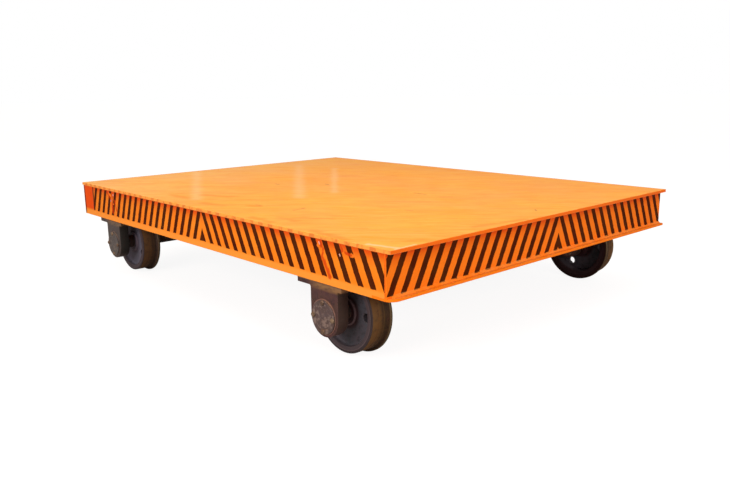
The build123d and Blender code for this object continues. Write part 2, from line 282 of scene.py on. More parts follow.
# Noise keeps near the middle of its range, so coverage is measured over that narrower band
noise_low, noise_high = 0.28, 0.72
level = remap(patches, given["Coverage"], 0.0, 1.0, noise_high, noise_low)
above = calculate(patches, "SUBTRACT", grain, level)
shaped = calculate(patches, "DIVIDE", above, given["Softness"])
lifted = calculate(patches, "ADD", shaped, 0.5)
clamped = add_node(patches, "ShaderNodeClamp", {"Value": lifted})
patches.links.new(clamped.outputs[0], result["Mask"])
print("group", patches.name)

# %% [markdown]
# Paint chips off and metal rubs bright where an edge sticks out. A Bevel node gives the
# normal that the surface would have with a small rounding, and where that differs from the
# true normal there is an edge. Noise then breaks the line up, so that it looks worn.

# %% Group: worn edges
edges, given, result = new_group(
    "worn_edges",
    {"Vector": (0, 0, 0), "Width": 0.004, "Scale": 25.0, "Coverage": 0.5},
    {"Mask": "Float", "Normal": "Vector"},
)
soft_normal = add_node(edges, "ShaderNodeBevel", {"Radius": given["Width"]}, samples=4).outputs[0]
true_normal = add_node(edges, "ShaderNodeNewGeometry").outputs["Normal"]
likeness = add_node(
    edges, "ShaderNodeVectorMath", {0: soft_normal, 1: true_normal}, operation="DOT_PRODUCT"
).outputs["Value"]
edge_line = remap(edges, likeness, 0.99, 0.86)
broken = use_group(
    edges,
    patches,
    {"Vector": given["Vector"], "Scale": given["Scale"], "Coverage": given["Coverage"], "Softness": 0.08},
)["Mask"]
edges.links.new(calculate(edges, "MULTIPLY", edge_line, broken), result["Mask"])
edges.links.new(soft_normal, result["Normal"])
print("group", edges.name)

# %% [markdown]
# Dust settles on whatever faces up and gathers in thin drifts. The group looks at how far
# the surface normal points up and lets noise decide where the dust has stayed.

# %% Group: settled dust
dust, given, result = new_group(
    "settled_dust",
    {"Vector": (0, 0, 0), "Scale": 6.0, "On Top": 0.8, "Elsewhere": 0.15},
    {"Mask": "Float"},
)
facing = add_node(dust, "ShaderNodeNewGeometry").outputs["Normal"]
upward = split_place(dust, facing)[2]
top_share = remap(dust, upward, 0.2, 0.95)
amount = add_node(
    dust, "ShaderNodeMix", {0: top_share, 2: given["Elsewhere"], 3: given["On Top"]}, data_type="FLOAT"
).outputs[0]
drift = remap(dust, noise_value(dust, given["Vector"], given["Scale"], 8.0, 0.65), 0.36, 0.62)
dust.links.new(calculate(dust, "MULTIPLY", amount, drift), result["Mask"])
print("group", dust.name)

# %% [markdown]
# A sand casting is never smooth. Fine grains of sand leave a rough skin, with some larger
# pits between them. The group puts out one height, which a Bump node turns into relief.

# %% Group: cast skin
cast_skin, given, result = new_group(
    "cast_skin", {"Vector": (0, 0, 0), "Grain Size": 0.003}, {"Height": "Float"}
)
density = calculate(cast_skin, "DIVIDE", 1.0, given["Grain Size"])
fine = noise_value(cast_skin, given["Vector"], density, 3.0)
coarse = noise_value(cast_skin, given["Vector"], calculate(cast_skin, "MULTIPLY", density, 0.12), 3.0)
pit_noise = noise_value(cast_skin, given["Vector"], calculate(cast_skin, "MULTIPLY", density, 0.3), 2.0)
pits = remap(cast_skin, pit_noise, 0.32, 0.4)
height = calculate(cast_skin, "MULTIPLY_ADD", coarse, 2.0, calculate(cast_skin, "ADD", fine, pits))
cast_skin.links.new(height, result["Height"])
print("group", cast_skin.name)

# %% [markdown]
# Single marks, such as a daub of touch-up paint or a dragged smear, have a place of their
# own. Each is a line between two points in space, and whatever lies nearer to it than its
# width is marked. Noise added to that distance makes the rim of the mark ragged.

# %% Group: a brush stroke between two points
stroke, given, result = new_group(
    "brush_stroke",
    {
        "Vector": (0, 0, 0), "From": (0, 0, 0), "To": (1, 0, 0), "Width": 0.02,
        "Raggedness": 0.02, "Softness": 0.45, "Noise": 0.5,
    },
    {"Mask": "Float"},
)


def vectors(tree, operation, *values, output="Vector"):
    inputs = dict(enumerate(values))
    return add_node(tree, "ShaderNodeVectorMath", inputs, operation=operation).outputs[output]


run = vectors(stroke, "SUBTRACT", given["To"], given["From"])
here = vectors(stroke, "SUBTRACT", given["Vector"], given["From"])
way = calculate(
    stroke, "DIVIDE",
    vectors(stroke, "DOT_PRODUCT", here, run, output="Value"),
    vectors(stroke, "DOT_PRODUCT", run, run, output="Value"),
)
way = add_node(stroke, "ShaderNodeClamp", {"Value": way}).outputs[0]
scaled = add_node(
    stroke, "ShaderNodeVectorMath", {"Vector": run, "Scale": way}, operation="SCALE"
).outputs["Vector"]
off_line = vectors(stroke, "DISTANCE", here, scaled, output="Value")
uneven = calculate(stroke, "SUBTRACT", given["Noise"], 0.5)
reach = calculate(stroke, "MULTIPLY_ADD", uneven, given["Raggedness"], off_line)
solid_share = calculate(stroke, "SUBTRACT", 1.0, given["Softness"])
inner_width = calculate(stroke, "MULTIPLY", given["Width"], solid_share)
stroke.links.new(remap(stroke, reach, given["Width"], inner_width), result["Mask"])
print("group", stroke.name)

# %% [markdown]
# ## Coats
# A finish is mixed the same way each time: a mask, a share and a paint, laid over the colour
# that is there. With short names for the common steps, a finish reads as a list of coats.

# %% Masks by their short names
def product(tree, first, *others):
    for other in others:
        first = calculate(tree, "MULTIPLY", first, other)
    return first


def patchy(tree, vector, scale, coverage, softness, stretch=(1, 1, 1)):
    inputs = {
        "Vector": vector, "Stretch": stretch, "Scale": scale, "Coverage": coverage, "Softness": softness
    }
    return use_group(tree, patches, inputs)["Mask"]


def dust_on(tree, place, scale, on_top, elsewhere):
    inputs = {"Vector": place, "Scale": scale, "On Top": on_top, "Elsewhere": elsewhere}
    return use_group(tree, dust, inputs)["Mask"]


def edges_on(tree, place, width, scale, coverage):
    """Gives a mask of the worn edges, and a normal that rounds them."""
    inputs = {"Vector": place, "Width": width, "Scale": scale, "Coverage": coverage}
    return use_group(tree, edges, inputs)


def skin_on(tree, place, grain_size):
    return use_group(tree, cast_skin, {"Vector": place, "Grain Size": grain_size})["Height"]


def facing_parts(tree):
    """How far the surface faces along X, Y and Z."""
    return split_place(tree, add_node(tree, "ShaderNodeNewGeometry").outputs["Normal"])


print("masks ready")

# %% [markdown]
# A mask says where, and a coat says what is laid on there and how strongly. At the end of
# each finish the mixed colour, a roughness and a relief are handed to the shader.

# %% Coats of paint, and what the shader is given
def coat(tree, base, mask, share, paint):
    """Lays a paint over a colour where the mask is, at a share of its full strength."""
    return blend_colours(tree, product(tree, mask, share), base, paint)


def give_colour(tree, surface, base, mask, roughness):
    """Links the colour, and a roughness that goes from one value to another with a mask."""
    tree.links.new(base, surface["Base Color"])
    tree.links.new(remap(tree, mask, 0.0, 1.0, *roughness), surface["Roughness"])


def give_relief(tree, surface, height, strength, distance, normal=None):
    inputs = {"Height": height, "Strength": strength, "Distance": distance}
    if normal is not None:
        inputs["Normal"] = normal
    bump = add_node(tree, "ShaderNodeBump", inputs)
    tree.links.new(bump.outputs[0], surface["Normal"])


print("coats ready")

# %% [markdown]
# Strokes come in lists. All those of one paint are joined into one mask by taking the
# larger of each two, so that where they cross the paint isn't laid on twice.

# %% Lists of strokes
def brushed(tree, base, place, noise_out, to_point, coats):
    """Coats hold a paint, its strength and softness, and rows: where each stroke starts and
    ends on a face, its width and its raggedness, in metres."""
    for paint, strength, softness, rows in coats:
        covered = None
        for u1, v1, u2, v2, width, raggedness in rows:
            inputs = {
                "Vector": place, "From": to_point(u1, v1), "To": to_point(u2, v2), "Width": width,
                "Raggedness": raggedness, "Softness": softness, "Noise": noise_out,
            }
            mask = use_group(tree, stroke, inputs)["Mask"]
            covered = mask if covered is None else calculate(tree, "MAXIMUM", covered, mask)
        base = coat(tree, base, covered, strength, paint)
    return base


print("strokes ready")

# %% [markdown]
# ## Warning stripes
# Black stripes 5 cm wide are painted along all four faces. They lean away from the middle
# of each face, so that they meet there in a roof shape. A picture could hold them, but a
# formula keeps their edges sharp: the distance from the middle, less a share of the height,
# stays the same all along one stripe, and its remainder says whether the paint is black.

# %% Group: stripes that lean away from the middle
stripes, given, result = new_group(
    "warning_stripes",
    {
        "Along": 0.0, "Below Deck": 0.0, "Middle": 0.0, "Pitch Before": 0.1, "Pitch After": 0.1,
        "Lean Before": 0.45, "Lean After": 0.45, "Start": 0.0, "Black Share": 0.48,
    },
    {"Mask": "Float"},
)
from_middle = calculate(stripes, "SUBTRACT", given["Along"], given["Middle"])
after = calculate(stripes, "GREATER_THAN", from_middle, 0.0)
pitch, lean = (
    add_node(
        stripes, "ShaderNodeMix", {0: after, 2: given[f"{name} Before"], 3: given[f"{name} After"]},
        data_type="FLOAT",
    ).outputs[0]
    for name in ("Pitch", "Lean")
)
distance = calculate(stripes, "ABSOLUTE", from_middle)
drop = calculate(stripes, "MULTIPLY", lean, given["Below Deck"])
phase = calculate(stripes, "SUBTRACT", calculate(stripes, "ADD", distance, given["Start"]), drop)
counted = calculate(stripes, "MAXIMUM", calculate(stripes, "DIVIDE", phase, pitch), -0.999)
turn = calculate(stripes, "FRACT", counted)
edge_softness = 0.015
past_black = calculate(stripes, "SUBTRACT", turn, given["Black Share"])
falling = remap(stripes, past_black, edge_softness, -edge_softness)
rising = remap(stripes, turn, 0.0, edge_softness * 2)
stripes.links.new(calculate(stripes, "MULTIPLY", falling, rising), result["Mask"])


def pattern(middle, pitches, leans, start):
    """Where the roof stands, then the pitch and the lean before and after it."""
    return {
        "Middle": middle, "Pitch Before": pitches[0], "Pitch After": pitches[1],
        "Lean Before": leans[0], "Lean After": leans[1], "Start": start,
    }


side_pattern = pattern(0.095, (0.0991, 0.1027), (0.42, 0.47), 0.0)
end_pattern = pattern(0.086, (0.1015, 0.0976), (0.50, 0.475), 0.008)
print("group", stripes.name)

# %% [markdown]
# ## Orange enamel
# All the plates share one glossy orange enamel that has gone patchy: lighter where it has
# faded and in a painted sheen, redder where it was touched up and in painted shade under
# the deck, dusty in places and rubbed through at the edges.
# The deck shows it best. Loads dragged along it leave long faint streaks and scratches.

# %% Colours of the paints and metals
def colour(red, green, blue):
    """A colour named by its everyday values from 0 to 255, for Blender's linear sockets."""
    shares = (value / 255 for value in (red, green, blue))
    return tuple(s / 12.92 if s < 0.04045 else ((s + 0.055) / 1.055) ** 2.4 for s in shares) + (1.0,)


enamel_orange = colour(250, 116, 14)
enamel_red = colour(202, 54, 4)
underside_shade = colour(176, 72, 10)
stripe_black = colour(74, 18, 0)
primer_pale = colour(244, 176, 118)
rust_brown = colour(104, 44, 16)
dust_tan = colour(158, 100, 50)
bare_steel = colour(150, 132, 116)
print("enamel", [round(part, 3) for part in enamel_orange])

# %% [markdown]
# The deck is laid up from seven coats of patches. Each is noise, stretched along the way the
# loads were dragged or left round, and all stand in one table, so that they can be weighed
# against each other at a glance.

# %% Deck paint: faded sheet with streaks and scratches
deck_paint, tree, surface = new_material("deck_paint", Specular_IOR_Level=0.09)
place = object_place(tree)
x, y, z = split_place(tree, place)
grain_angle = math.radians(-42)
turned_place = add_node(
    tree, "ShaderNodeMapping", {"Vector": place, "Rotation": (0, 0, grain_angle)}
).outputs[0]
# Lighter towards the rear, on the right: a painted sheen on the glossy deck
to_rear_right = calculate(tree, "MULTIPLY_ADD", y, -0.4, calculate(tree, "MULTIPLY", x, -1.0))
painted_sheen_share = remap(tree, to_rear_right, 0.5, 2.3)
base = blend_colours(tree, painted_sheen_share, colour(252, 151, 24), colour(252, 183, 106))
# Name, place, stretch, scale, coverage and softness of the patches, then share and paint
deck_coats = [
    ("clouds", place, (0.7, 1.2, 1), 1.6, 0.5, 0.55, 0.7, colour(252, 172, 54)),
    ("streaks", turned_place, (0.45, 3.2, 1), 3.4, 0.34, 0.3, 0.7, colour(246, 132, 14)),
    ("wisps", turned_place, (1.0, 6.0, 1), 11.0, 0.30, 0.16, 0.75, colour(240, 122, 14)),
    ("blotches", place, (1, 1, 1), 7.0, 0.26, 0.18, 0.6, colour(248, 140, 30)),
    ("pale wisps", turned_place, (0.8, 7.0, 1), 5.0, 0.42, 0.35, 0.5, colour(255, 196, 96)),
    ("scratches", turned_place, (0.3, 9, 1), 8.0, 0.10, 0.04, 0.4, colour(206, 96, 16)),
    ("specks", place, (1, 1, 1), 30.0, 0.05, 0.05, 0.5, rust_brown),
]
masks = {}
for name, vector, stretch, scale, coverage, softness, share, paint in deck_coats:
    masks[name] = patchy(tree, vector, scale, coverage, softness, stretch)
    base = coat(tree, base, masks[name], share, paint)
print(len(masks), "coats on the deck")

# %% [markdown]
# Noise can't put a mark where it is wanted. Painted reflections, smears and scuffs are therefore
# strokes, each from one point of the deck to another, with a half width and a soft edge.

# %% Deck paint: marks with a place of their own
def on_deck(x, y):
    return (x, y, deck_high.z)


stretched_place = add_node(
    tree, "ShaderNodeMapping", {"Vector": turned_place, "Scale": (0.6, 2.6, 1)}
).outputs[0]
daub_noise = noise_value(tree, stretched_place, 9.0, 7.0, 0.65)
# The pale upright bands are painted reflections in the glossy deck
painted_reflection_bands = [
    (-1.90, -0.39, -0.30, -1.30, 0.075, 0.16), (-1.60, 0.66, 0.20, -0.71, 0.08, 0.18),
    (-1.10, 0.73, 0.20, -0.36, 0.05, 0.14),
]
smears = [
    (-0.65, -1.32, -0.42, -1.32, 0.06, 0.20), (-0.45, -1.14, -0.22, -1.07, 0.07, 0.24),
    (-0.10, -1.36, 0.11, -1.32, 0.06, 0.20), (0.27, -1.19, 0.34, -1.16, 0.04, 0.14),
    (0.65, -1.44, 0.89, -1.46, 0.05, 0.16), (0.78, -1.32, 0.97, -1.33, 0.05, 0.18),
    (0.88, -1.27, 1.06, -1.12, 0.05, 0.20), (1.30, -1.45, 1.62, -1.48, 0.05, 0.16),
    (1.90, -0.72, 1.97, -0.30, 0.04, 0.16),
]
far_rim = [(-1.994, -1.3, -1.994, 1.49, 0.012, 0.03), (-1.99, 1.494, 1.9, 1.494, 0.012, 0.03)]
scuffs = [
    (0.69, 0.04, 0.81, 0.04, 0.010, 0.03), (0.98, 0.02, 1.04, 0.08, 0.009, 0.03),
    (1.19, -0.57, 1.25, -0.56, 0.008, 0.03), (1.81, 0.03, 1.84, 0.0, 0.010, 0.02),
    (-0.57, -0.38, -0.52, -0.38, 0.012, 0.03), (0.49, -0.81, 0.52, -0.79, 0.009, 0.03),
    (0.26, -1.14, 0.33, -1.14, 0.008, 0.03), (0.65, -1.10, 0.63, -0.99, 0.008, 0.03),
    (-0.24, -0.09, -0.17, -0.11, 0.010, 0.03),
]
rubbed_corner = [(1.80, -1.47, 1.99, -1.43, 0.022, 0.06), (1.985, -1.3, 1.995, -1.46, 0.01, 0.03)]
deck_marks = [
    (colour(255, 204, 146), 0.30, 1.0, painted_reflection_bands),
    (colour(248, 130, 6), 0.62, 0.95, smears),
    (colour(214, 84, 8), 0.7, 0.6, far_rim),
    (colour(176, 84, 18), 0.6, 0.45, scuffs),
    (colour(255, 200, 150), 0.6, 0.45, rubbed_corner),
]
base = brushed(tree, base, place, daub_noise, on_deck, deck_marks)
print(sum(len(marks[-1]) for marks in deck_marks), "marks on the deck")

# %% [markdown]
# The deck's edge is a separate matter. It was painted together with the beams below, so it
# is lighter, carries spots of the stripes' paint and is chipped. The normal picks it out.

# %% Deck paint: the rim, where the stripes' paint ran over
upward = facing_parts(tree)[2]
rim = remap(tree, calculate(tree, "ABSOLUTE", upward), 0.9, 0.5)
on_end = remap(tree, calculate(tree, "ABSOLUTE", x), deck_high.x - 0.003, deck_high.x - 0.0005)
rim_colour = blend_colours(tree, on_end, colour(252, 158, 66), colour(240, 104, 16))
base = blend_colours(tree, rim, base, rim_colour)
overrun = use_group(
    tree, stripes, {"Along": x, "Below Deck": 0.0, "Black Share": 0.5, **side_pattern}
)["Mask"]
spots = patchy(tree, place, 16.0, 0.55, 0.1)
off_end = calculate(tree, "SUBTRACT", 1.0, on_end)
base = coat(tree, base, product(tree, rim, overrun, spots, off_end), 0.55, colour(204, 84, 36))
worn = edges_on(tree, place, 0.004, 16.0, 0.5)
base = coat(tree, base, worn["Mask"], 0.6, primer_pale)
# Faces that look down are darkened: painted shade
base = blend_colours(tree, remap(tree, upward, -0.2, -0.8), base, underside_shade)
give_colour(tree, surface, base, masks["clouds"], (0.36, 0.5))
scratched = calculate(tree, "MULTIPLY", masks["scratches"], -0.06)
give_relief(tree, surface, calculate(tree, "ADD", noise_value(tree, place, 3.5, 3.0), scratched), 0.2, 0.01)
print("material", deck_paint.name)

# %% [markdown]
# The four striped faces use the same enamel. A function makes the material for a pair of
# beams, because the side beams count their stripes along X and the end beams along Y.

# %% Striped paint for the outer beams
def striped_paint(name, axis, face, foot, stripe_pattern, last_stripe, enamel, band):
    """Enamel with stripes on the faces that lie as far out as the given face."""
    material, tree, surface = new_material(name, Specular_IOR_Level=0.04, Coat_Roughness=0.2)
    place = object_place(tree)
    coordinates = split_place(tree, place)
    along, outward, up = coordinates[axis], coordinates[1 - axis], coordinates[2]
    head = deck_low.z
    waver = noise_value(tree, place, 24.0, 3.0)
    drawn = {
        "Along": calculate(tree, "MULTIPLY_ADD", waver, 0.010, calculate(tree, "SUBTRACT", along, 0.005)),
        "Below Deck": calculate(tree, "SUBTRACT", head, up), "Black Share": 0.48,
    }
    black = use_group(tree, stripes, {**drawn, **stripe_pattern})["Mask"]
    ragged_foot = calculate(tree, "MULTIPLY_ADD", waver, 0.014, foot - 0.007)
    above_foot = remap(tree, calculate(tree, "SUBTRACT", up, ragged_foot), 0.0, 0.004)
    on_face = calculate(tree, "GREATER_THAN", calculate(tree, "ABSOLUTE", outward), face - 0.0008)
    striped_part = calculate(tree, "GREATER_THAN", along, last_stripe)
    black = product(tree, black, above_foot, on_face, striped_part)

    cloudy = patchy(tree, place, 5.0, 0.5, 0.4)
    base = blend_colours(tree, cloudy, *enamel)
    # Redder painted shade under the deck's overhang, and a paler band along the foot
    base = coat(tree, base, remap(tree, up, head - 0.11, head + 0.01), 0.55, enamel_red)
    base = coat(tree, base, remap(tree, up, head - 0.050, head - 0.006), 0.55, colour(224, 58, 8))
    base = coat(tree, base, remap(tree, up, foot + 0.012, foot - 0.014), 0.75, band)
    # Past the last stripe the end was painted over in a deeper red, which also stands as painted shade at
    # that corner
    past_stripes = remap(tree, along, last_stripe + 0.006, last_stripe - 0.004)
    above_band = remap(tree, up, foot - 0.006, foot + 0.02)
    deeper = blend_colours(tree, cloudy, colour(240, 84, 2), colour(226, 66, 0))
    base = blend_colours(tree, product(tree, on_face, past_stripes, above_band), base, deeper)
    ink = blend_colours(tree, cloudy, stripe_black, colour(64, 24, 0))
    ink = coat(tree, ink, patchy(tree, place, 55.0, 0.16, 0.06), 0.35, colour(104, 50, 8))
    base = blend_colours(tree, black, base, ink)
    return material, tree, surface, place, base, black, cloudy


print("stripes can be painted")

# %% [markdown]
# Marks that belong to one beam only go between the stripes and the wear, as they did in
# life. So the wear is a function of its own, called once the marks are on.

# %% Dust, worn edges and gloss over the stripes
def finish_striped(material, tree, surface, place, base, black, cloudy):
    """Dust, worn edges, painted shade on faces that look down, gloss and relief, over whatever marks were
    brushed on before.
    """
    base = blend_colours(tree, dust_on(tree, place, 9.0, 0.5, 0.02), base, colour(238, 152, 74))
    worn = edges_on(tree, place, 0.004, 18.0, 0.4)
    base = coat(tree, base, worn["Mask"], 0.45, primer_pale)
    # Faces that look down are darkened: painted shade
    base = blend_colours(tree, remap(tree, facing_parts(tree)[2], -0.2, -0.8), base, underside_shade)
    give_colour(tree, surface, base, black, (0.44, 0.56))
    unstriped = calculate(tree, "SUBTRACT", 1.0, black)
    gloss = product(tree, remap(tree, cloudy, 0.0, 1.0, 0.05, 0.01), unstriped)
    tree.links.new(gloss, surface["Coat Weight"])
    relief = calculate(tree, "MULTIPLY_ADD", black, 0.02, noise_value(tree, place, 11.0, 4.0))
    give_relief(tree, surface, relief, 0.2, 0.008, worn["Normal"])
    return material


print("striped enamel ready")

# %% [markdown]
# Brackets were once taken off the right side, and their places were touched up by hand with
# red and orange paint that did not quite match. Each daub is a short stroke on that face.

# %% Side beams: stripes and touch-ups
def on_right_side(x, z):
    return (x, -side_face, z)


painted = striped_paint(
    "striped_side_paint", 0, side_face, 0.528, side_pattern, -1.80,
    (colour(248, 122, 16), colour(244, 134, 32)), colour(252, 152, 56),
)
material, tree, surface, place, base, black, cloudy = painted
daub_noise = noise_value(tree, place, 20.0, 6.0, 0.7)
dark_ends = [(-1.793, 0.735, -1.793, 0.545, 0.017, 0.02), (-1.985, 0.735, -1.985, 0.50, 0.016, 0.03)]
orange_daubs = [
    (1.690, 0.688, 1.728, 0.684, 0.015, 0.04), (1.412, 0.735, 1.400, 0.700, 0.014, 0.04),
    (-1.46, 0.712, -1.42, 0.70, 0.015, 0.04), (-1.405, 0.64, -1.37, 0.63, 0.012, 0.04),
]
red_daubs = [
    (1.410, 0.735, 1.436, 0.700, 0.020, 0.05), (1.446, 0.690, 1.436, 0.640, 0.015, 0.05),
    (1.436, 0.640, 1.466, 0.590, 0.020, 0.06), (1.466, 0.590, 1.502, 0.535, 0.022, 0.05),
    (1.602, 0.730, 1.612, 0.700, 0.010, 0.04), (1.640, 0.694, 1.690, 0.688, 0.010, 0.04),
    (-1.385, 0.72, -1.400, 0.56, 0.020, 0.06), (-1.500, 0.73, -1.415, 0.665, 0.014, 0.06),
    (-1.350, 0.66, -1.320, 0.585, 0.012, 0.05),
]
pale_chips = [
    (1.409, 0.722, 1.415, 0.712, 0.006, 0.012), (1.590, 0.678, 1.594, 0.670, 0.006, 0.012),
    (-1.368, 0.712, -1.372, 0.706, 0.008, 0.012), (-1.421, 0.660, -1.425, 0.652, 0.006, 0.012),
]
side_marks = [
    (stripe_black, 0.8, 0.45, dark_ends),
    (colour(250, 120, 30), 0.95, 0.45, orange_daubs),
    (enamel_red, 0.82, 0.7, red_daubs),
    (colour(240, 176, 158), 0.9, 0.45, pale_chips),
]
base = brushed(tree, base, place, daub_noise, on_right_side, side_marks)
side_paint = finish_striped(material, tree, surface, place, base, black, cloudy)
print("material", side_paint.name, "with", len(red_daubs + orange_daubs + pale_chips), "touch-ups")

# %% [markdown]
# The end beams have no touch-ups, so their paint goes from the stripes straight to the wear.
# Then each solid of the shell gets its paint by the start of its name.

# %% End beams, and the paint put on
end_paint = finish_striped(*striped_paint(
    "striped_end_paint", 1, front_web_face, 0.506, end_pattern, -10.0,
    (enamel_orange, colour(244, 120, 24)), colour(250, 124, 18),
))


def put_on(material, starts):
    """Paints every solid whose name begins with one of the starts."""
    for name, solid in solids.items():
        if name.startswith(starts):
            solid.data.materials.clear()
            solid.data.materials.append(material)


put_on(side_paint, ("side_beam",))
put_on(end_paint, ("end_beam",))
put_on(deck_paint, ("deck_plate",))
print("painted the deck and the four outer beams")

# %% [markdown]
# ## Finishes of the metal below
# The beams inside the frame were sprayed with the same orange, but nobody wipes them, so
# grime and rust have dulled them. The drive, the crates and the axles have gone the same
# way from other colours, so one function mixes them all and a table holds what differs.

# %% Grimy paint or steel
def grimy_metal(name, paint, second, grime, rust_share, roughness, gloss=0.0, metallic=0.0):
    """Paint or steel with cloudy grime, rust spots, dust on top and worn edges."""
    material, tree, surface = new_material(name, Coat_Weight=gloss, Coat_Roughness=0.25)
    place = object_place(tree)
    soiled = patchy(tree, place, 13.0, 0.4, 0.25)
    rusty = patchy(tree, place, 21.0, rust_share, 0.08)
    dusty = dust_on(tree, place, 12.0, 0.8, 0.12)
    worn = edges_on(tree, place, 0.003, 30.0, 0.5)
    base = blend_colours(tree, patchy(tree, place, 6.0, 0.5, 0.4), colour(*paint), colour(*second))
    base = coat(tree, base, soiled, 0.55, colour(*grime))
    base = blend_colours(tree, rusty, base, rust_brown)
    base = blend_colours(tree, dusty, base, dust_tan)
    base = coat(tree, base, worn["Mask"], 0.5, bare_steel)
    give_colour(tree, surface, base, soiled, (roughness, min(roughness + 0.25, 1.0)))
    if metallic:
        clean = calculate(tree, "SUBTRACT", 1.0, calculate(tree, "MAXIMUM", rusty, dusty))
        tree.links.new(product(tree, clean, metallic), surface["Metallic"])
    give_relief(tree, surface, skin_on(tree, place, 0.004), 0.12, 0.001, worn["Normal"])
    return material


print("grimy finishes can be mixed")

# %% [markdown]
# The frame is orange like the deck, the drive blue, the crates nearly black and the control
# box grey. Axles and bolts have no paint, so theirs are steels, with a share of metal.

# %% Finishes of the frame, drive, crates, axles and bolts
# Paint, its second shade, its grime, then rust, roughness, gloss and metal
grimy = {
    "frame_paint": ((176, 74, 12), (150, 60, 14), (72, 38, 20), 0.16, 0.6),
    "drive_paint": ((48, 68, 88), (40, 56, 74), (36, 30, 26), 0.08, 0.5, 0.15),
    "battery_case": ((46, 46, 48), (58, 56, 54), (30, 28, 26), 0.02, 0.5),
    "control_paint": ((166, 166, 158), (150, 150, 142), (92, 84, 72), 0.04, 0.5, 0.1),
    "axle_steel": ((70, 58, 52), (52, 42, 38), (30, 20, 18), 0.26, 0.5, 0.0, 0.5),
    "bolt_steel": ((150, 122, 92), (58, 42, 36), (40, 28, 24), 0.2, 0.5, 0.0, 0.3),
}
frame_paint, drive_paint, battery_case, control_paint, axle_steel, bolt_steel = (
    grimy_metal(name, *values) for name, values in grimy.items()
)
put_on(frame_paint, ("main_beam", "cross_beam", "outrigger"))
put_on(axle_steel, ("rear_axle", "stub_axle"))
put_on(drive_paint, ("gear_reducer", "drive_motor", "torque_arm"))
put_on(battery_case, ("battery_pack",))
put_on(control_paint, ("control_box",))
print("finishes", ", ".join(grimy))

# %% [markdown]
# The bearing housings are castings in a purple-brown primer. The one ledge that faces up
# holds ochre dust, and the covers are greyer and mottled where grease has soaked in.

# %% Primed castings
def primed_casting(name, primer, second, mottle, mottle_share):
    material, tree, surface = new_material(name, Specular_IOR_Level=0.3)
    place = object_place(tree)
    along, _, up = split_place(tree, place)
    cloudy = patchy(tree, place, 9.0, 0.5, 0.4)
    worn = edges_on(tree, place, 0.004, 28.0, 0.75)
    base = blend_colours(tree, cloudy, colour(*primer), colour(*second))
    base = blend_colours(tree, patchy(tree, place, 42.0, mottle_share, 0.12), base, colour(*mottle))
    base = blend_colours(tree, dust_on(tree, place, 16.0, 0.9, 0.10), base, colour(132, 92, 54))
    # Faces that look along the rails are darkened as painted shade
    end_face_shade = remap(tree, calculate(tree, "ABSOLUTE", facing_parts(tree)[0]), 0.5, 0.95)
    base = coat(tree, base, end_face_shade, 0.6, colour(50, 38, 26))
    foot_dust = patchy(tree, place, 14.0, 0.62, 0.2, (1, 1, 2.5))
    on_foot = product(tree, remap(tree, up, 0.150, 0.176), remap(tree, along, -0.17, -0.02))
    base = coat(tree, base, product(tree, foot_dust, on_foot), 0.8, colour(142, 100, 58))
    base = coat(tree, base, worn["Mask"], 0.5, colour(138, 104, 94))
    give_colour(tree, surface, base, cloudy, (0.46, 0.62))
    give_relief(tree, surface, skin_on(tree, place, 0.005), 0.35, 0.0012, worn["Normal"])
    return material


housing_primer = primed_casting("housing_primer", (74, 41, 43), (58, 36, 34), (42, 26, 24), 0.34)
# The rain rings' primer is painted lighter as a highlight round the covers
rain_ring_highlight = primed_casting("rain_ring_highlight", (150, 104, 90), (112, 76, 66), (72, 48, 42), 0.25)
cap_primer = primed_casting("cap_primer", (86, 66, 64), (64, 52, 52), (120, 100, 92), 0.42)
print("castings", housing_primer.name, cap_primer.name)

# %% [markdown]
# ## Rolling finish of the wheels
# A rail wheel tells its work by its colours. The tread is rubbed by the rail to a brown
# shine, the flange edge is scraped bright and carries a painted highlight, the rim's face
# stays primer grey and the web between rim and hub is dark with a cool tint. The distance
# from the axle tells them apart.

# %% Wheel steel: web, hub and rim
rim_radius, web_radius, tread_radius = 0.251, 0.210, 0.255
flange_radius = (axles["front"][1].z - axles["front"][0].z) / 2
wheel_width = wheel_outer - wheel_inner


def radius_on(tree):
    """The distance from the axle, which runs along Y."""
    x, y, z = split_place(tree, object_place(tree))
    return calculate(tree, "SQRT", calculate(tree, "ADD", product(tree, x, x), product(tree, z, z)))


wheel_steel, tree, surface = new_material("wheel_steel", Specular_IOR_Level=0.18)
place = object_place(tree)
x, y, z = split_place(tree, place)
radius = radius_on(tree)
cloudy = patchy(tree, place, 9.0, 0.5, 0.4)
mottled = patchy(tree, place, 34.0, 0.4, 0.15)
web = blend_colours(tree, cloudy, colour(60, 65, 70), colour(82, 70, 76))
# Near the hub the web is painted dark maroon: painted shade between housing and wheel
web = coat(tree, web, remap(tree, radius, 0.122, 0.094), 0.8, colour(58, 20, 20))
web = coat(tree, web, mottled, 0.5, colour(36, 32, 30))
# A pale ring on the hub's rim is a painted highlight
hub_rim_highlight = product(
    tree, remap(tree, radius, 0.077, 0.083), remap(tree, radius, 0.096, 0.090), remap(tree, y, 0.118, 0.127)
)
web = coat(tree, web, hub_rim_highlight, 0.75, colour(126, 102, 104))
rim_face = blend_colours(tree, cloudy, colour(74, 60, 62), colour(62, 52, 54))
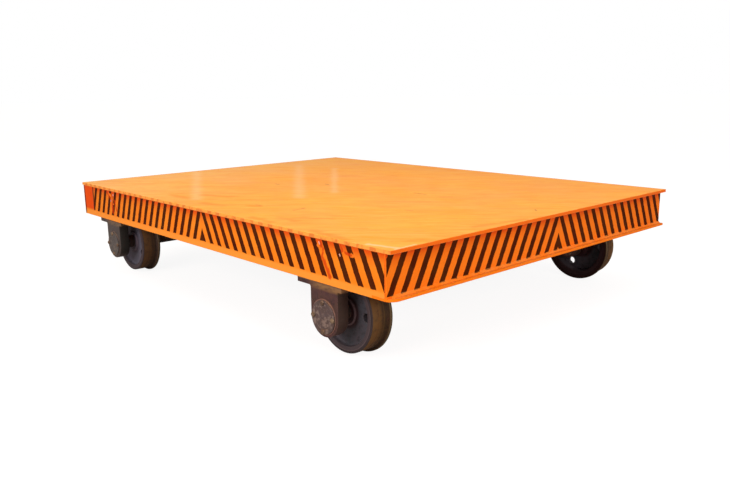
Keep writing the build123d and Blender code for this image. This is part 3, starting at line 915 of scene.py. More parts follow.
# A dark chamfer runs round the rim as painted shade, with a thin pale line along its inner edge as a painted
# highlight
chamfer_radius, line_half = 0.238, 0.0022
chamfer_shade = remap(tree, radius, chamfer_radius, chamfer_radius + 0.003)
rim_face = coat(tree, rim_face, chamfer_shade, 0.55, colour(34, 24, 24))
off_chamfer = calculate(tree, "ABSOLUTE", calculate(tree, "SUBTRACT", radius, chamfer_radius - line_half))
chamfer_highlight = product(tree, remap(tree, off_chamfer, line_half, 0.0), cloudy)
rim_face = coat(tree, rim_face, chamfer_highlight, 0.7, colour(140, 116, 112))
beyond_web = remap(tree, radius, web_radius - 0.004, web_radius + 0.004)
base = blend_colours(tree, beyond_web, web, rim_face)
print("rim from", web_radius, "to", rim_radius)

# %% [markdown]
# The tread is rubbed in rings, which are noise along the axle's direction only. Where the
# rail rubs, the paint gives way to metal that is smoother and shinier.

# %% Wheel steel: tread and flange
tread = blend_colours(tree, mottled, colour(96, 62, 30), colour(70, 44, 22))
# The tread is painted lighter ochre towards the open rim as a painted highlight, and darker beside the
# flange as painted shade
tread = coat(tree, tread, remap(tree, y, 0.085, wheel_width), 0.45, colour(118, 84, 44))
tread = coat(tree, tread, remap(tree, y, 0.100, 0.040), 0.75, colour(38, 26, 14))
on_tread = product(
    tree,
    remap(tree, radius, rim_radius - 0.002, rim_radius + 0.003),
    remap(tree, y, wheel_width - 0.001, wheel_width - 0.008),
)
base = blend_colours(tree, on_tread, base, tread)
# Rings rubbed along the tread, brighter towards the flange where the rail head runs
ring_noise = add_node(
    tree, "ShaderNodeTexNoise", {"W": product(tree, y, 90.0), "Scale": 1.0, "Detail": 3.0},
    noise_dimensions="1D",
).outputs["Fac"]
rubbed = product(tree, on_tread, remap(tree, ring_noise, 0.5, 0.68))
base = coat(tree, base, rubbed, 0.7, colour(116, 86, 46))
# The flange edge is scraped bright, and its paler colour is also a painted highlight
scraped_and_highlit = remap(tree, radius, flange_radius - 0.006, flange_radius - 0.001)
base = coat(tree, base, scraped_and_highlit, 0.6, colour(112, 96, 72))
base = coat(tree, base, patchy(tree, place, 24.0, 0.22, 0.1), 0.7, colour(74, 42, 26))
worn = edges_on(tree, place, 0.004, 26.0, 0.8)
base = coat(tree, base, worn["Mask"], 0.45, colour(128, 108, 100))
# The inner face, off the flange edge, is painted dark maroon: painted shade under the cart
unscraped = calculate(tree, "SUBTRACT", 1.0, scraped_and_highlit)
base = coat(tree, base, product(tree, unscraped, remap(tree, y, 0.035, 0.0)), 0.8, colour(38, 8, 10))
give_colour(tree, surface, base, rubbed, (0.6, 0.36))
tree.links.new(product(tree, calculate(tree, "MAXIMUM", rubbed, scraped_and_highlit), 0.6), surface["Metallic"])
rough_share = calculate(tree, "SUBTRACT", 1.0, product(tree, on_tread, 0.8))
relief = product(tree, skin_on(tree, place, 0.005), rough_share)
give_relief(tree, surface, relief, 0.4, 0.0012, worn["Normal"])
print("material", wheel_steel.name)

# %% [markdown]
# The driven wheels and their housings are greyer than the front ones. It is the same finish
# under a thin grey film, so each material is copied and a film is mixed over its colour. The
# film is thickest in the recess of the wheel. On the housings it leaves the end faces bare,
# and a second, dark film darkens them as painted shade.

# %% Grey film and painted shade on the driven wheels and their housings
def under_film(material, films):
    """A copy of a finish under films, each a colour and a function that gives its share."""
    filmed = material.copy()
    filmed.name = f"filmed_over_{material.name}"
    tree = filmed.node_tree
    socket = tree.nodes["Principled BSDF"].inputs["Base Color"]
    for film, share_on in films:
        blended = blend_colours(tree, share_on(tree), socket.links[0].from_socket, film)
        tree.links.new(blended, socket)
    return filmed


def share_in_recess(tree):
    return remap(tree, radius_on(tree), web_radius + 0.006, web_radius - 0.006, 0.04, 0.42)


def share_by_facing(on_face, on_end):
    """The share on faces that look sideways from the cart, and on those square to the rails."""
    def share_on(tree):
        endwise = calculate(tree, "ABSOLUTE", facing_parts(tree)[0])
        return remap(tree, endwise, 0.5, 0.9, on_face, on_end)
    return share_on


wheel_film = [(colour(118, 112, 128), share_in_recess)]
# The second, dark film on the housings' end faces is painted shade
housing_film = [
    (colour(80, 82, 78), share_by_facing(0.48, 0.0)), (colour(24, 30, 28), share_by_facing(0.0, 0.7))
]
steels = {"front": wheel_steel, "rear": under_film(wheel_steel, wheel_film)}
castings = {"front": (housing_primer, rain_ring_highlight, cap_primer)}
castings["rear"] = tuple(under_film(material, housing_film) for material in castings["front"])
print("film over", steels["rear"].name, "and", len(castings["rear"]), "castings")

# %% [markdown]
# ## Outlines
# Most pieces here are turned, or cut from plate, so they begin as a flat outline. No real
# casting has a razor edge. A Bevel modifier could round them all alike, but each corner
# here has a radius of its own, so a helper sets an arc into every corner of an outline.

# %% Outlines with rounded corners
# Outlines that reach the axis stop just short of it, where their faces would fold
near_axis = 0.0001


def rounded_outline(corners, step=math.radians(18)):
    """Points of a closed outline. Each corner is across, up and the radius of its rounding."""
    points = []
    for i, (u, v, radius) in enumerate(corners):
        here = Vector((u, v))
        if radius == 0:
            points.append(here)
            continue
        before, after = corners[i - 1], corners[(i + 1) % len(corners)]
        to_before = (Vector(before[:2]) - here).normalized()
        to_after = (Vector(after[:2]) - here).normalized()
        angle = to_before.angle(to_after)
        reach = radius / math.tan(angle / 2)
        centre = here + (to_before + to_after).normalized() * radius / math.sin(angle / 2)
        first, last = here + to_before * reach - centre, here + to_after * reach - centre
        swing = math.pi - angle
        count = max(2, math.ceil(swing / step))
        for k in range(count + 1):
            share = k / count
            arm = (first * math.sin((1 - share) * swing) + last * math.sin(share * swing)) / math.sin(swing)
            points.append(centre + arm)
    return points


sample = rounded_outline([(0, 0, 0.1), (1, 0, 0.1), (1, 1, 0.1), (0, 1, 0.1)])
print("a rounded square has", len(sample), "points")

# %% [markdown]
# ## From outlines to parts
# A part is a list of vertices and a list of faces. Turning an outline round the axle gives
# wheels and covers, and running it along a line gives housings. Blocks do for thin plates.

# %% Parts: turned, extruded, boxes and copies
def turned(outline, turns=96):
    """Vertices and faces of an outline of (radius, place along Y) turned round the Y axis."""
    count = len(outline)
    vertices = []
    for i in range(turns):
        angle = 2 * math.pi * i / turns
        vertices += [(r * math.cos(angle), place, r * math.sin(angle)) for r, place in outline]
    faces = []
    for i in range(turns):
        start, following = i * count, (i + 1) % turns * count
        for j in range(count):
            k = (j + 1) % count
            faces.append((start + j, start + k, following + k, following + j))
    return vertices, faces


def extruded(outline, low, high):
    """Vertices and faces of an outline of (X, Z) that runs along Y from low to high."""
    count = len(outline)
    vertices = [(u, low, v) for u, v in outline] + [(u, high, v) for u, v in outline]
    faces = [tuple(range(count)), tuple(range(2 * count - 1, count - 1, -1))]
    faces += [(j, (j + 1) % count, count + (j + 1) % count, count + j) for j in range(count)]
    return vertices, faces


def block(x_range, y_range, z_range):
    """Vertices and faces of a box between three pairs of planes."""
    vertices = [Vector((x, y, z)) for x in x_range for y in y_range for z in z_range]
    faces = [(0, 1, 3, 2), (4, 6, 7, 5), (0, 4, 5, 1), (2, 3, 7, 6), (0, 2, 6, 4), (1, 5, 7, 3)]
    return vertices, faces


def moved(part, matrix):
    """The same part with its vertices moved by a matrix."""
    return [matrix @ Vector(v) for v in part[0]], part[1]


def on_circle(centre, radius, angle):
    """A place on an upright circle, at an angle up from the front."""
    x, y, z = centre
    return (x + radius * math.cos(angle), y, z + radius * math.sin(angle))


print("a block has", len(block((0, 1), (0, 1), (0, 1))[1]), "faces")

# %% [markdown]
# ## From parts to pieces
# Blender draws a mesh smooth or flat. Here every face is smooth and edges sharper than 35
# degrees stay crisp, as on a machined casting. Parts that belong together become one mesh.

# %% Pieces made of parts
sharp_over = math.radians(35)


def shaded(mesh):
    """Smooth faces, with the sharp edges left crisp."""
    mesh.polygons.foreach_set("use_smooth", [True] * len(mesh.polygons))
    mesh.set_sharp_from_angle(angle=sharp_over)


def new_piece(name, vertices, faces, material, place=(0, 0, 0)):
    mesh = bpy.data.meshes.new(name)
    mesh.from_pydata([tuple(v) for v in vertices], [], faces)
    work = bmesh.new()
    work.from_mesh(mesh)
    bmesh.ops.remove_doubles(work, verts=work.verts, dist=1e-6)
    bmesh.ops.recalc_face_normals(work, faces=work.faces)
    work.to_mesh(mesh)
    work.free()
    shaded(mesh)
    mesh.materials.append(material)
    piece = bpy.data.objects.new(name, mesh)
    piece.location = place
    bpy.context.scene.collection.objects.link(piece)
    return piece


def joined(name, parts, material, place=(0, 0, 0)):
    """One piece from several parts, each given as vertices and faces."""
    vertices, faces = [], []
    for made, sides in parts:
        start = len(vertices)
        vertices += made
        faces += [tuple(start + k for k in side) for side in sides]
    return new_piece(name, vertices, faces, material, place)


def dress(piece, body, replaced=()):
    """Fixes a piece to a body and hides the solids that it stands for."""
    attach(piece, body)
    if replaced:
        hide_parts(*replaced)


print("edges over", round(math.degrees(sharp_over)), "degrees stay sharp")

# %% [markdown]
# ## Cutting and softening
# Holes are cut with a Boolean modifier and edges softened with a Bevel. Both are applied at
# once, so that the mesh is final when it leaves this script, and the cutter is thrown away.

# %% Helpers that cut holes and soften edges
def finished(piece):
    """Applies the piece's modifiers and marks its sharp edges again."""
    bpy.context.view_layer.update()
    evaluated = piece.evaluated_get(bpy.context.evaluated_depsgraph_get())
    mesh = bpy.data.meshes.new_from_object(evaluated)
    piece.modifiers.clear()
    piece.data = mesh
    shaded(mesh)


def cut(piece, cutters):
    """Takes other meshes away from a piece and deletes them."""
    for cutter in cutters:
        modifier = piece.modifiers.new("cut", "BOOLEAN")
        modifier.operation, modifier.solver, modifier.object = "DIFFERENCE", "EXACT", cutter
    finished(piece)
    for cutter in cutters:
        bpy.data.objects.remove(cutter)


def bevelled(piece, width, segments=2):
    modifier = piece.modifiers.new("soft_edges", "BEVEL")
    modifier.width, modifier.segments = width, segments
    modifier.limit_method, modifier.angle_limit = "ANGLE", math.radians(40)
    finished(piece)


def drill(radius, low, high, material, turns=64):
    """A cutter for a round hole along Y."""
    outline = [(near_axis, low), (radius, low), (radius, high), (near_axis, high)]
    return new_piece("drill", *turned(outline, turns), material)


print("cutting tools ready")

# %% [markdown]
# ## Wheels
# Each wheel is one casting with a flange on its inner side, turned on a lathe where it
# meets the rail. The web is set back between hub and rim. A cylinder could be scaled and
# inset into this shape, but a turned outline gives every fillet its own radius.

# %% Outline of a rail wheel
hub_reach = 0.130
wheel_web = (0.087, 0.117)
bore_radius, hub_radius, hub_draft = 0.05505, 0.091, 0.005
rim_inner, rim_draft = 0.213, 0.006
flange_thickness, flange_taper = 0.025, 0.007
# Radius, place out from the inner face, rounding
wheel_outline = [
    (bore_radius, hub_reach, 0.0),
    (hub_radius - hub_draft, hub_reach, 0.003),
    (hub_radius, wheel_web[1], 0.008),
    (rim_inner - rim_draft, wheel_web[1], 0.014),
    (rim_inner, wheel_width, 0.003),
    (tread_radius, wheel_width, 0.004),
    (tread_radius, flange_thickness, 0.010),
    (flange_radius, flange_thickness - flange_taper, 0.006),
    (flange_radius, 0.0, 0.006),
    (rim_inner, 0.0, 0.003),
    (rim_inner - rim_draft, wheel_web[0], 0.014),
    (hub_radius, wheel_web[0], 0.014),
    (hub_radius - hub_draft, 0.0, 0.005),
    (bore_radius, 0.0, 0.0),
]
print("wheel outline with", len(wheel_outline), "corners")

# %% [markdown]
# Three round holes for lifting tackle go through the web of each wheel. The wheels stopped
# wherever they rolled to, so each has its holes at angles of its own.

# %% Turn the wheels and cut their holes
hole_radius, hole_circle, hole_count, hole_step = 0.028, 0.174, 3, 120
# Angle of each wheel's first hole, in degrees from the front
first_hole = {("front", "left"): -120, ("front", "right"): -2, ("rear", "left"): -84, ("rear", "right"): -30}
wheel_body = {
    ("front", "left"): "front_wheel_left", ("front", "right"): "front_wheel_right",
    ("rear", "left"): "driven_axle", ("rear", "right"): "driven_axle",
}
for end, side in corners:
    sign = side_sign[side]
    wheel = new_piece(f"rail_wheel_{end}_{side}", *turned(rounded_outline(wheel_outline)), steels[end])
    drills = []
    for i in range(hole_count):
        # The right wheels are the left ones turned half round, so their angles run back
        angle = math.radians(first_hole[end, side] - hole_step * i)
        drills.append(drill(hole_radius, -0.05, 0.25, steels[end], 32))
        drills[-1].location = (sign * hole_circle * math.cos(angle), 0, hole_circle * math.sin(angle))
    cut(wheel, drills)
    wheel.location = (axle_x[end], sign * wheel_inner, axle_z)
    wheel.rotation_euler.z = 0 if sign > 0 else math.pi
    dress(wheel, wheel_body[end, side], [f"wheel_{end}_{side}"])
print("wheels of", len(wheel.data.polygons), "faces each")

# %% [markdown]
# ## Bearing housings and covers
# A housing is a thick block with a round lower end, hung from a long foot. Its outline is
# given thickness and then its edges are softened. It could be carved from a cube by
# Booleans, but one outline gives the foot, the fillets under it and the round end at once.

# %% Outline of a hung housing
housing_low, housing_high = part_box("bearing_housing_front_left")
cap_low, cap_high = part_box("housing_cap_front_left")
foot_top = housing_high.z - axle_z
foot_thickness, foot_fillet = 0.026, 0.012
foot_bottom = foot_top - foot_thickness
foot_reach = (axle_x["front"] - housing_low.x, housing_high.x - axle_x["front"])
body_half = axle_z - housing_low.z
housing_depth = housing_high.y - housing_low.y


def hung_outline(foot_reach, foot_top, foot_bottom, body_half, corner):
    """Foot, upright body and round lower end, measured from the axle."""
    rear_reach, front_reach = foot_reach
    upper = [
        (-body_half, foot_bottom, corner),
        (-rear_reach, foot_bottom, 0.004),
        (-rear_reach, foot_top, 0.0),
        (front_reach, foot_top, 0.0),
        (front_reach, foot_bottom, 0.004),
        (body_half, foot_bottom, corner),
    ]
    points = rounded_outline(upper + [(body_half, 0, 0.0), (-body_half, 0, 0.0)])[:-2]
    steps = 32
    for i in range(steps + 1):
        angle = -math.pi * i / steps
        points.append(Vector((body_half * math.cos(angle), body_half * math.sin(angle))))
    return points


def outward(sign, near, far):
    """A range along Y that runs outward on either side of the cart."""
    return tuple(sorted((sign * near, sign * far)))


print("foot reaches", foot_reach, "and is", foot_thickness, "thick")

# %% [markdown]
# The round cover on a housing's face has a raised rim and a shallow hollow inside it. A low
# ring on the housing keeps rain out of the joint round it. Both are turned like the wheels,
# and the housing is drilled for the axle's end.

# %% Hang the outer housings
journal_radius = 0.04505
ring_outline = [(0.103, -0.004, 0.0), (0.103, 0.005, 0.001), (0.108, 0.005, 0.002), (0.110, -0.004, 0.0)]
cap_radius = (cap_high.z - cap_low.z) / 2
cap_thickness = cap_high.y - cap_low.y
cap_outline = [
    (near_axis, 0.0, 0.0),
    (cap_radius, 0.0, 0.0),
    (cap_radius, cap_thickness, 0.003),
    (0.076, cap_thickness, 0.0015),
    (0.072, cap_thickness - 0.003, 0.0015),
    (0.020, cap_thickness - 0.003, 0.001),
    (0.018, cap_thickness - 0.001, 0.001),
    (near_axis, cap_thickness - 0.001, 0.0),
]
for end, side in corners:
    sign = side_sign[side]
    housing_finish, ring_highlight_finish, cap_finish = castings[end]
    outline = hung_outline(foot_reach, foot_top, foot_bottom, body_half, foot_fillet)
    block_mesh = extruded(outline, *outward(sign, 0, housing_depth))
    housing = new_piece(f"hung_housing_{end}_{side}", *block_mesh, housing_finish)
    bevelled(housing, 0.003)
    cut(housing, [drill(journal_radius, *outward(sign, -0.05, housing_depth + 0.05), bolt_steel)])
    housing.location = (axle_x[end], sign * housing_low.y, axle_z)
    ring = new_piece(f"rain_ring_{end}_{side}", *turned(rounded_outline(ring_outline)), ring_highlight_finish)
    cap = new_piece(f"bearing_cover_{end}_{side}", *turned(rounded_outline(cap_outline)), cap_finish)
    for piece in (ring, cap):
        piece.location = (axle_x[end], sign * housing_high.y, axle_z)
        piece.rotation_euler.z = 0 if sign > 0 else math.pi
    for piece in (housing, ring, cap):
        dress(piece, "chassis")
    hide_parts(f"bearing_housing_{end}_{side}")
    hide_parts(f"housing_cap_{end}_{side}")
print("covers", round(2 * cap_radius, 3), "across")

# %% [markdown]
# The frame was never quite level, so each foot is packed up with flat shims under the beam.
# They are thin plates, cut in the middle where the beam's own pad sits.

# %% Shims between foot and beam
shim_count, shim_gap, shim_jog = 3, 0.0006, 0.0012
shim_rise = (frame_bottom - housing_high.z) / shim_count
pad_inset = 0.0122
for end, side in corners:
    sign = side_sign[side]
    plates = []
    for i in range(shim_count):
        jog = shim_jog * (i % 2)
        x_range = (axle_x[end] - foot_reach[0] + jog, axle_x[end] + foot_reach[1] - jog)
        low = housing_high.z + i * shim_rise
        y_range = outward(sign, housing_low.y, housing_high.y - jog)
        plates.append(block(x_range, y_range, (low, low + shim_rise - shim_gap)))
    shims = joined(f"shims_{end}_{side}", plates, housing_primer)
    room = block(
        (axle_x[end] - foot_reach[0] + pad_inset, axle_x[end] + foot_reach[1] - pad_inset),
        outward(sign, housing_low.y + pad_inset, housing_high.y - pad_inset),
        (housing_high.z - 0.05, frame_bottom + 0.05),
    )
    cut(shims, [new_piece("room_for_pad", *room, housing_primer)])
    dress(shims, "chassis")
print(shim_count, "shims on each foot")

# %% [markdown]
# The two front wheels turn on short axles of their own, so each has a second, smaller
# housing on its inner side, which hangs under the frame's long beam.

# %% Hang the inner housings
inner_low, inner_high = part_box("inner_bearing_left")
inner_half, inner_top = axle_z - inner_low.z, inner_high.z - axle_z
inner_reach, depth = (inner_high.x - inner_low.x) / 2, inner_high.y - inner_low.y
inner_foot = 0.022
reaches, ledge = (inner_reach, inner_reach), inner_top - inner_foot
for side, sign in side_sign.items():
    outline = hung_outline(reaches, inner_top, ledge, inner_half, foot_fillet)
    block_mesh = extruded(outline, *outward(sign, 0, depth))
    housing = new_piece(f"inner_housing_{side}", *block_mesh, housing_primer)
    bevelled(housing, 0.003)
    cut(housing, [drill(journal_radius, *outward(sign, 0.012, depth + 0.05), bolt_steel)])
    housing.location = (axle_x["front"], sign * inner_low.y, axle_z)
    dress(housing, "chassis", [f"inner_bearing_{side}"])
print("inner housing", round(2 * inner_half, 3), "wide")

# %% [markdown]
# ## Bolts
# A bolt head is a hexagon with its corners turned off. It is modelled once, and each set
# of bolts is one mesh that repeats it, which keeps the list of pieces short.

# %% One bolt head, repeated
def bolt_head(across_flats, height):
    """Vertices and faces of a hexagon head on a washer, standing on the origin along Z."""
    corner = across_flats / math.sqrt(3)
    washer, washer_top, chamfer_start = across_flats * 0.62, height * 0.18, height * 0.86
    # How many points each ring has, its radius and its height
    rings = [
        (24, washer, 0.0), (24, washer, washer_top), (6, corner, washer_top),
        (6, corner, chamfer_start), (6, corner * 0.9, height),
    ]
    vertices, faces, starts = [], [], []
    for count, radius, level in rings:
        starts.append(len(vertices))
        for i in range(count):
            angle = 2 * math.pi * i / count
            vertices.append(Vector((radius * math.cos(angle), radius * math.sin(angle), level)))
    for k in (0, 2, 3):
        count = rings[k][0]
        for i in range(count):
            j = (i + 1) % count
            faces.append((starts[k] + i, starts[k] + j, starts[k + 1] + j, starts[k + 1] + i))
    faces.append(tuple(range(starts[1], starts[1] + 24)))
    faces.append(tuple(range(starts[4], starts[4] + 6)))
    return vertices, faces


def repeated(name, template, placements, material):
    """One mesh with a copy of the template at each placement."""
    return joined(name, [moved(template, matrix) for matrix in placements], material)


def aimed(place, direction, spin=0.0):
    """A placement that stands a template on a place, pointing along a direction."""
    turn = Vector(direction).to_track_quat("Z", "Y").to_matrix().to_4x4()
    return Matrix.Translation(Vector(place)) @ turn @ Matrix.Rotation(spin, 4, "Z")


cover_bolt, foot_bolt = bolt_head(0.026, 0.0078), bolt_head(0.032, 0.016)
print("a bolt head has", len(cover_bolt[1]), "faces")

# %% [markdown]
# Four bolts hold each cover. Each foot hangs from the beam's flange by two pairs of bolts,
# of which the nuts are seen on the flange. Nobody lines up the corners of bolts, so each
# is spun by a random angle, from a fixed seed so that every run gives the same cart.

# %% Bolts of the covers and the feet
random.seed(7)
# One pair screws into the long end of the foot, the other into the block near its front
rear_bolt, stud = -0.185, 0.090
cover_circle, beam_flange = 0.088, 0.016
for end, side in corners:
    sign = side_sign[side]
    cap_centre = (axle_x[end], sign * cap_high.y, axle_z)
    heads = []
    for i in range(4):
        spot = on_circle(cap_centre, cover_circle, math.pi / 2 * i)
        heads.append(aimed(spot, (0, sign, 0), random.uniform(0, 1)))
    cover = repeated(f"cover_bolts_{end}_{side}", cover_bolt, heads, bolt_steel)
    under = []
    for inward in (0.022, 0.058):
        for place in (rear_bolt, stud):
            nut_spot = (axle_x[end] + place, sign * (housing_high.y - inward), frame_bottom + beam_flange)
            under.append(aimed(nut_spot, (0, 0, 1), random.uniform(0, 1)))
    feet = repeated(f"foot_bolts_{end}_{side}", foot_bolt, under, bolt_steel)
    for piece in (cover, feet):
        dress(piece, "chassis")
print("16 cover bolts and", len(under) * 4, "bolt heads and nuts at the feet")

# %% [markdown]
# ## Welds
# Plates this thick are joined by fillet welds, which freeze in ripples as the welder moves
# along. A bead is a small three-sided bar in the corner between two plates, made of rings a
# few millimetres apart that swell and shrink.

# %% A rippled weld bead
fillet_section = [(-0.05, -0.05), (1.0, -0.05), (0.62, 0.62), (-0.05, 1.0)]
seam_section = [(-1.0, -0.1), (-0.55, 0.32), (0.55, 0.32), (1.0, -0.1)]


def bead(start, end, across, lift, size, section=fillet_section):
    """Vertices and faces of a bead. Its section is drawn along the across and lift directions."""
    start, end, across, lift = Vector(start), Vector(end), Vector(across), Vector(lift)
    ring_gap, ripple_depth, ripple_turn, unevenness, fullest = 0.006, 0.14, 2.2, 0.06, 1.15
    count = max(4, round((end - start).length / ring_gap))
    vertices, faces = [], []
    for i in range(count + 1):
        ripple = 1 + ripple_depth * math.sin(ripple_turn * i) + random.uniform(-unevenness, unevenness)
        # The bead starts and runs out thinner over two rings
        run_out = min(1.0, 0.4 + 0.3 * min(i, count - i))
        swell = size * min(ripple, fullest) * run_out
        centre = start.lerp(end, i / count)
        vertices += [centre + (across * u + lift * v) * swell for u, v in section]
    for i in range(count):
        for k in range(4):
            near_ring, far_ring = 4 * i, 4 * i + 4
            following = (k + 1) % 4
            faces.append((near_ring + k, near_ring + following, far_ring + following, far_ring + k))
    faces += [(0, 1, 2, 3), (4 * count + 3, 4 * count + 2, 4 * count + 1, 4 * count)]
    return vertices, faces


weld_paint, tree, surface = new_material("weld_paint", Roughness=0.55, Specular_IOR_Level=0.1)
place = object_place(tree)
base = blend_colours(tree, patchy(tree, place, 8.0, 0.5, 0.4), colour(244, 112, 14), colour(236, 98, 12))
base = coat(tree, base, patchy(tree, place, 70.0, 0.4, 0.2), 0.5, colour(206, 80, 8))
tree.links.new(base, surface["Base Color"])
give_relief(tree, surface, skin_on(tree, place, 0.003), 0.2, 0.001)
print("material", weld_paint.name)

# %% [markdown]
# Outside, each beam has one bead under the deck. The corners of the frame are butted, and
# the seam there is a flat bead that stands up the side.

# %% Welds on the outer faces
under_deck = deck_low.z
flange_root = frame_bottom + beam_flange
seam_x = front_web_face - side_plate
up, down, forward = (0, 0, 1), (0, 0, -1), (1, 0, 0)
side_beads = []
for sign in (1, -1):
    out, face_y = (0, sign, 0), sign * side_face
    side_beads.append(bead(
        (deck_low.x + 0.004, face_y, under_deck), (front_web_face, face_y, under_deck), out, down, 0.006
    ))
    side_beads.append(bead(
        (seam_x, face_y, flange_root + 0.002), (seam_x, face_y, under_deck - 0.006),
        forward, out, 0.005, seam_section,
    ))
end_beads = [
    bead((front_web_face, -side_face, z), (front_web_face, side_face, z), forward, lift, size)
    for z, lift, size in ((under_deck, down, 0.009), (flange_root, up, 0.006))
]
for name, beads in (("side_welds", side_beads), ("front_welds", end_beads)):
    dress(joined(name, beads, weld_paint), "chassis")
print("outer welds in", len(side_beads) + len(end_beads), "runs")

# %% [markdown]
# Inside the frame the webs are welded to each other over their whole height, and to the
# deck in stitches as long as a hand. All the runs are listed first and then made as one mesh.

# %% Welds under the deck
main_low, main_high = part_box("main_beam_left")
main_y, main_half = (main_low.y + main_high.y) / 2, (main_high.y - main_low.y) / 2
beam_boxes = [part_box(f"cross_beam_{i}") for i in range(1, 5)]
beam_places = [(low.x + high.x) / 2 for low, high in beam_boxes]
beam_low, beam_half = beam_boxes[0][0].z, (beam_boxes[0][1].x - beam_boxes[0][0].x) / 2
main_web_half, cross_web_half, section_flange, leg = 0.006, 0.004, 0.014, 0.006
stitch, stitch_pitch, outer_stitch = 0.07, 0.23, 0.15


def faces_beside(half):
    """Places across the cart of the long beams' faces, and which way each one faces."""
    return ((main_y - half, -1), (main_y + half, 1), (web_inner, -1))


def stitch_ends(x, y, along_x):
    """The two ends of a stitch under the deck, about its middle."""
    halves = (-stitch / 2, stitch / 2)
    return [(x + h, y, under_deck) if along_x else (x, y + h, under_deck) for h in halves]


runs = []
for x in beam_places:
    for face in (-1, 1):
        for sign in (1, -1):
            for y, away in faces_beside(main_web_half):
                corner = (x + face * cross_web_half, sign * y)
                foot, head = (*corner, beam_low + section_flange), (*corner, under_deck - section_flange)
                runs.append((foot, head, (face, 0, 0), (0, sign * away, 0)))
across_places = [i * stitch_pitch for i in range(-4, 5)]
across_places += [sign * (main_y + main_half + outer_stitch) for sign in (1, -1)]
for x in beam_places:
    for face in (-1, 1):
        for y in across_places:
            runs.append((*stitch_ends(x + face * beam_half, y, False), (face, 0, 0), down))
for i in range(-8, 9):
    x = i * stitch_pitch
    if min(abs(x - place) for place in beam_places) < beam_half + stitch / 2:
        continue
    for sign in (1, -1):
        for y, away in faces_beside(main_half):
            runs.append((*stitch_ends(x, sign * y, True), (0, sign * away, 0), down))
frame_welds = joined("frame_welds", [bead(*run, leg) for run in runs], frame_paint)
dress(frame_welds, "chassis")
print(len(runs), "welds under the deck, in", len(frame_welds.data.polygons), "faces")

# %% [markdown]
# ## Drive
# An electric motor sheds its heat through fins along its body, and a fan at its back blows
# air over them from under a cowl. The body, its end bells, the cowl and the slots that the
# fan draws its air through are all round, so one outline holds them.

# %% Turned body of the motor
motor_low, motor_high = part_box("drive_motor")
mount_radius, mount_thickness = 0.120, 0.018
motor_length = motor_high.y - motor_low.y
cowl_start = motor_length - 0.070
shell_radius, bell_radius, fin_radius, cowl_radius = 0.088, 0.098, 0.100, 0.108
motor_outline = [
    (near_axis, 0, 0), (mount_radius, 0, 0.003), (mount_radius, mount_thickness, 0.003),
    (bell_radius, mount_thickness, 0.002), (bell_radius, 0.046, 0.004), (shell_radius, 0.052, 0.002),
    (shell_radius, cowl_start - 0.032, 0.002), (bell_radius, cowl_start - 0.026, 0.004),
    (bell_radius, cowl_start, 0.0), (cowl_radius, cowl_start, 0.001), (cowl_radius, motor_length, 0.014),
]
slot_width, slot_depth = 0.008, 0.004
for slot_radius in (0.086, 0.070, 0.054, 0.038):
    inside = slot_radius - slot_width
    motor_outline += [
        (slot_radius, motor_length, 0.001), (slot_radius, motor_length - slot_depth, 0.0008),
        (inside, motor_length - slot_depth, 0.0008), (inside, motor_length, 0.001),
    ]
motor_outline.append((near_axis, motor_length, 0))
motor_parts = [turned(rounded_outline(motor_outline), 72)]
print("motor outline with", len(motor_outline), "corners")

# %% [markdown]
# Each fin is a thin plate, copied round the shaft and left out where the terminal box
# stands. An Array modifier could copy them, but it can't leave any out.

# %% Fins and terminal box of the motor
fin_count, fin_half, room_for_box = 40, 0.002, 0.82
fin = block((shell_radius - 0.003, fin_radius), (0.054, cowl_start - 0.034), (-fin_half, fin_half))
for i in range(fin_count):
    angle = 2 * math.pi * i / fin_count
    if math.sin(angle) < room_for_box:
        motor_parts.append(moved(fin, Matrix.Rotation(-angle, 4, "Y")))
box_middle = mount_thickness + 0.150
box_base, box_top = 0.080, motor_high.z - motor_low.z - mount_radius
# The terminal box and its lid: half width, half length, bottom and top
for half_x, half_y, low, high in (
    (0.048, 0.053, box_base, box_top - 0.008), (0.050, 0.055, box_top - 0.0072, box_top)
):
    motor_parts.append(block((-half_x, half_x), (box_middle - half_y, box_middle + half_y), (low, high)))
motor_place = (axle_x["rear"], motor_low.y, motor_low.z + mount_radius)
motor = joined("finned_motor", motor_parts, drive_paint, motor_place)
bevelled(motor, 0.0006, 1)
dress(motor, "chassis", ["drive_motor"])
print("motor of", len(motor.data.polygons), "faces with", fin_count, "fin places")

# %% [markdown]
# The reducer's casing is a closed casting. Screws hold its two halves together, a round
# cover closes the end of the input shaft, and short ribs stiffen the face between them. All
# the screws are one mesh, placed round three circles.

# %% Screws on the reducer
reducer_low, reducer_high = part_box("gear_reducer")
rear_x, shaft_z = axle_x["rear"], motor_low.z + mount_radius
sleeve_length = 0.025
left_face, right_face = reducer_high.y - sleeve_length, reducer_low.y + sleeve_length
low_circle, high_circle, mount_circle = 0.130, 0.096, 0.109
screws = []
for facing, y in ((-1, right_face), (1, left_face)):
    for angle in range(190, 351, 20):
        spot = on_circle((rear_x, y, axle_z), low_circle, math.radians(angle))
        screws.append(aimed(spot, (0, facing, 0), angle))
for angle in range(0, 181, 30):
    spot = on_circle((rear_x, right_face, shaft_z), high_circle, math.radians(angle))
    screws.append(aimed(spot, (0, -1, 0), angle))
for i in range(8):
    angle = math.radians(22.5 + 45 * i)
    spot = on_circle((rear_x, left_face + mount_thickness, shaft_z), mount_circle, angle)
    screws.append(aimed(spot, (0, 1, 0), i))
small_screw = bolt_head(0.013, 0.008)
dress(repeated("reducer_screws", small_screw, screws, bolt_steel), "chassis")
print(len(screws), "screws on the reducer")

# %% [markdown]
# The cover is turned like the wheels, and the ribs are blocks that are sunk a little into
# the casing, so that no gap shows between them.

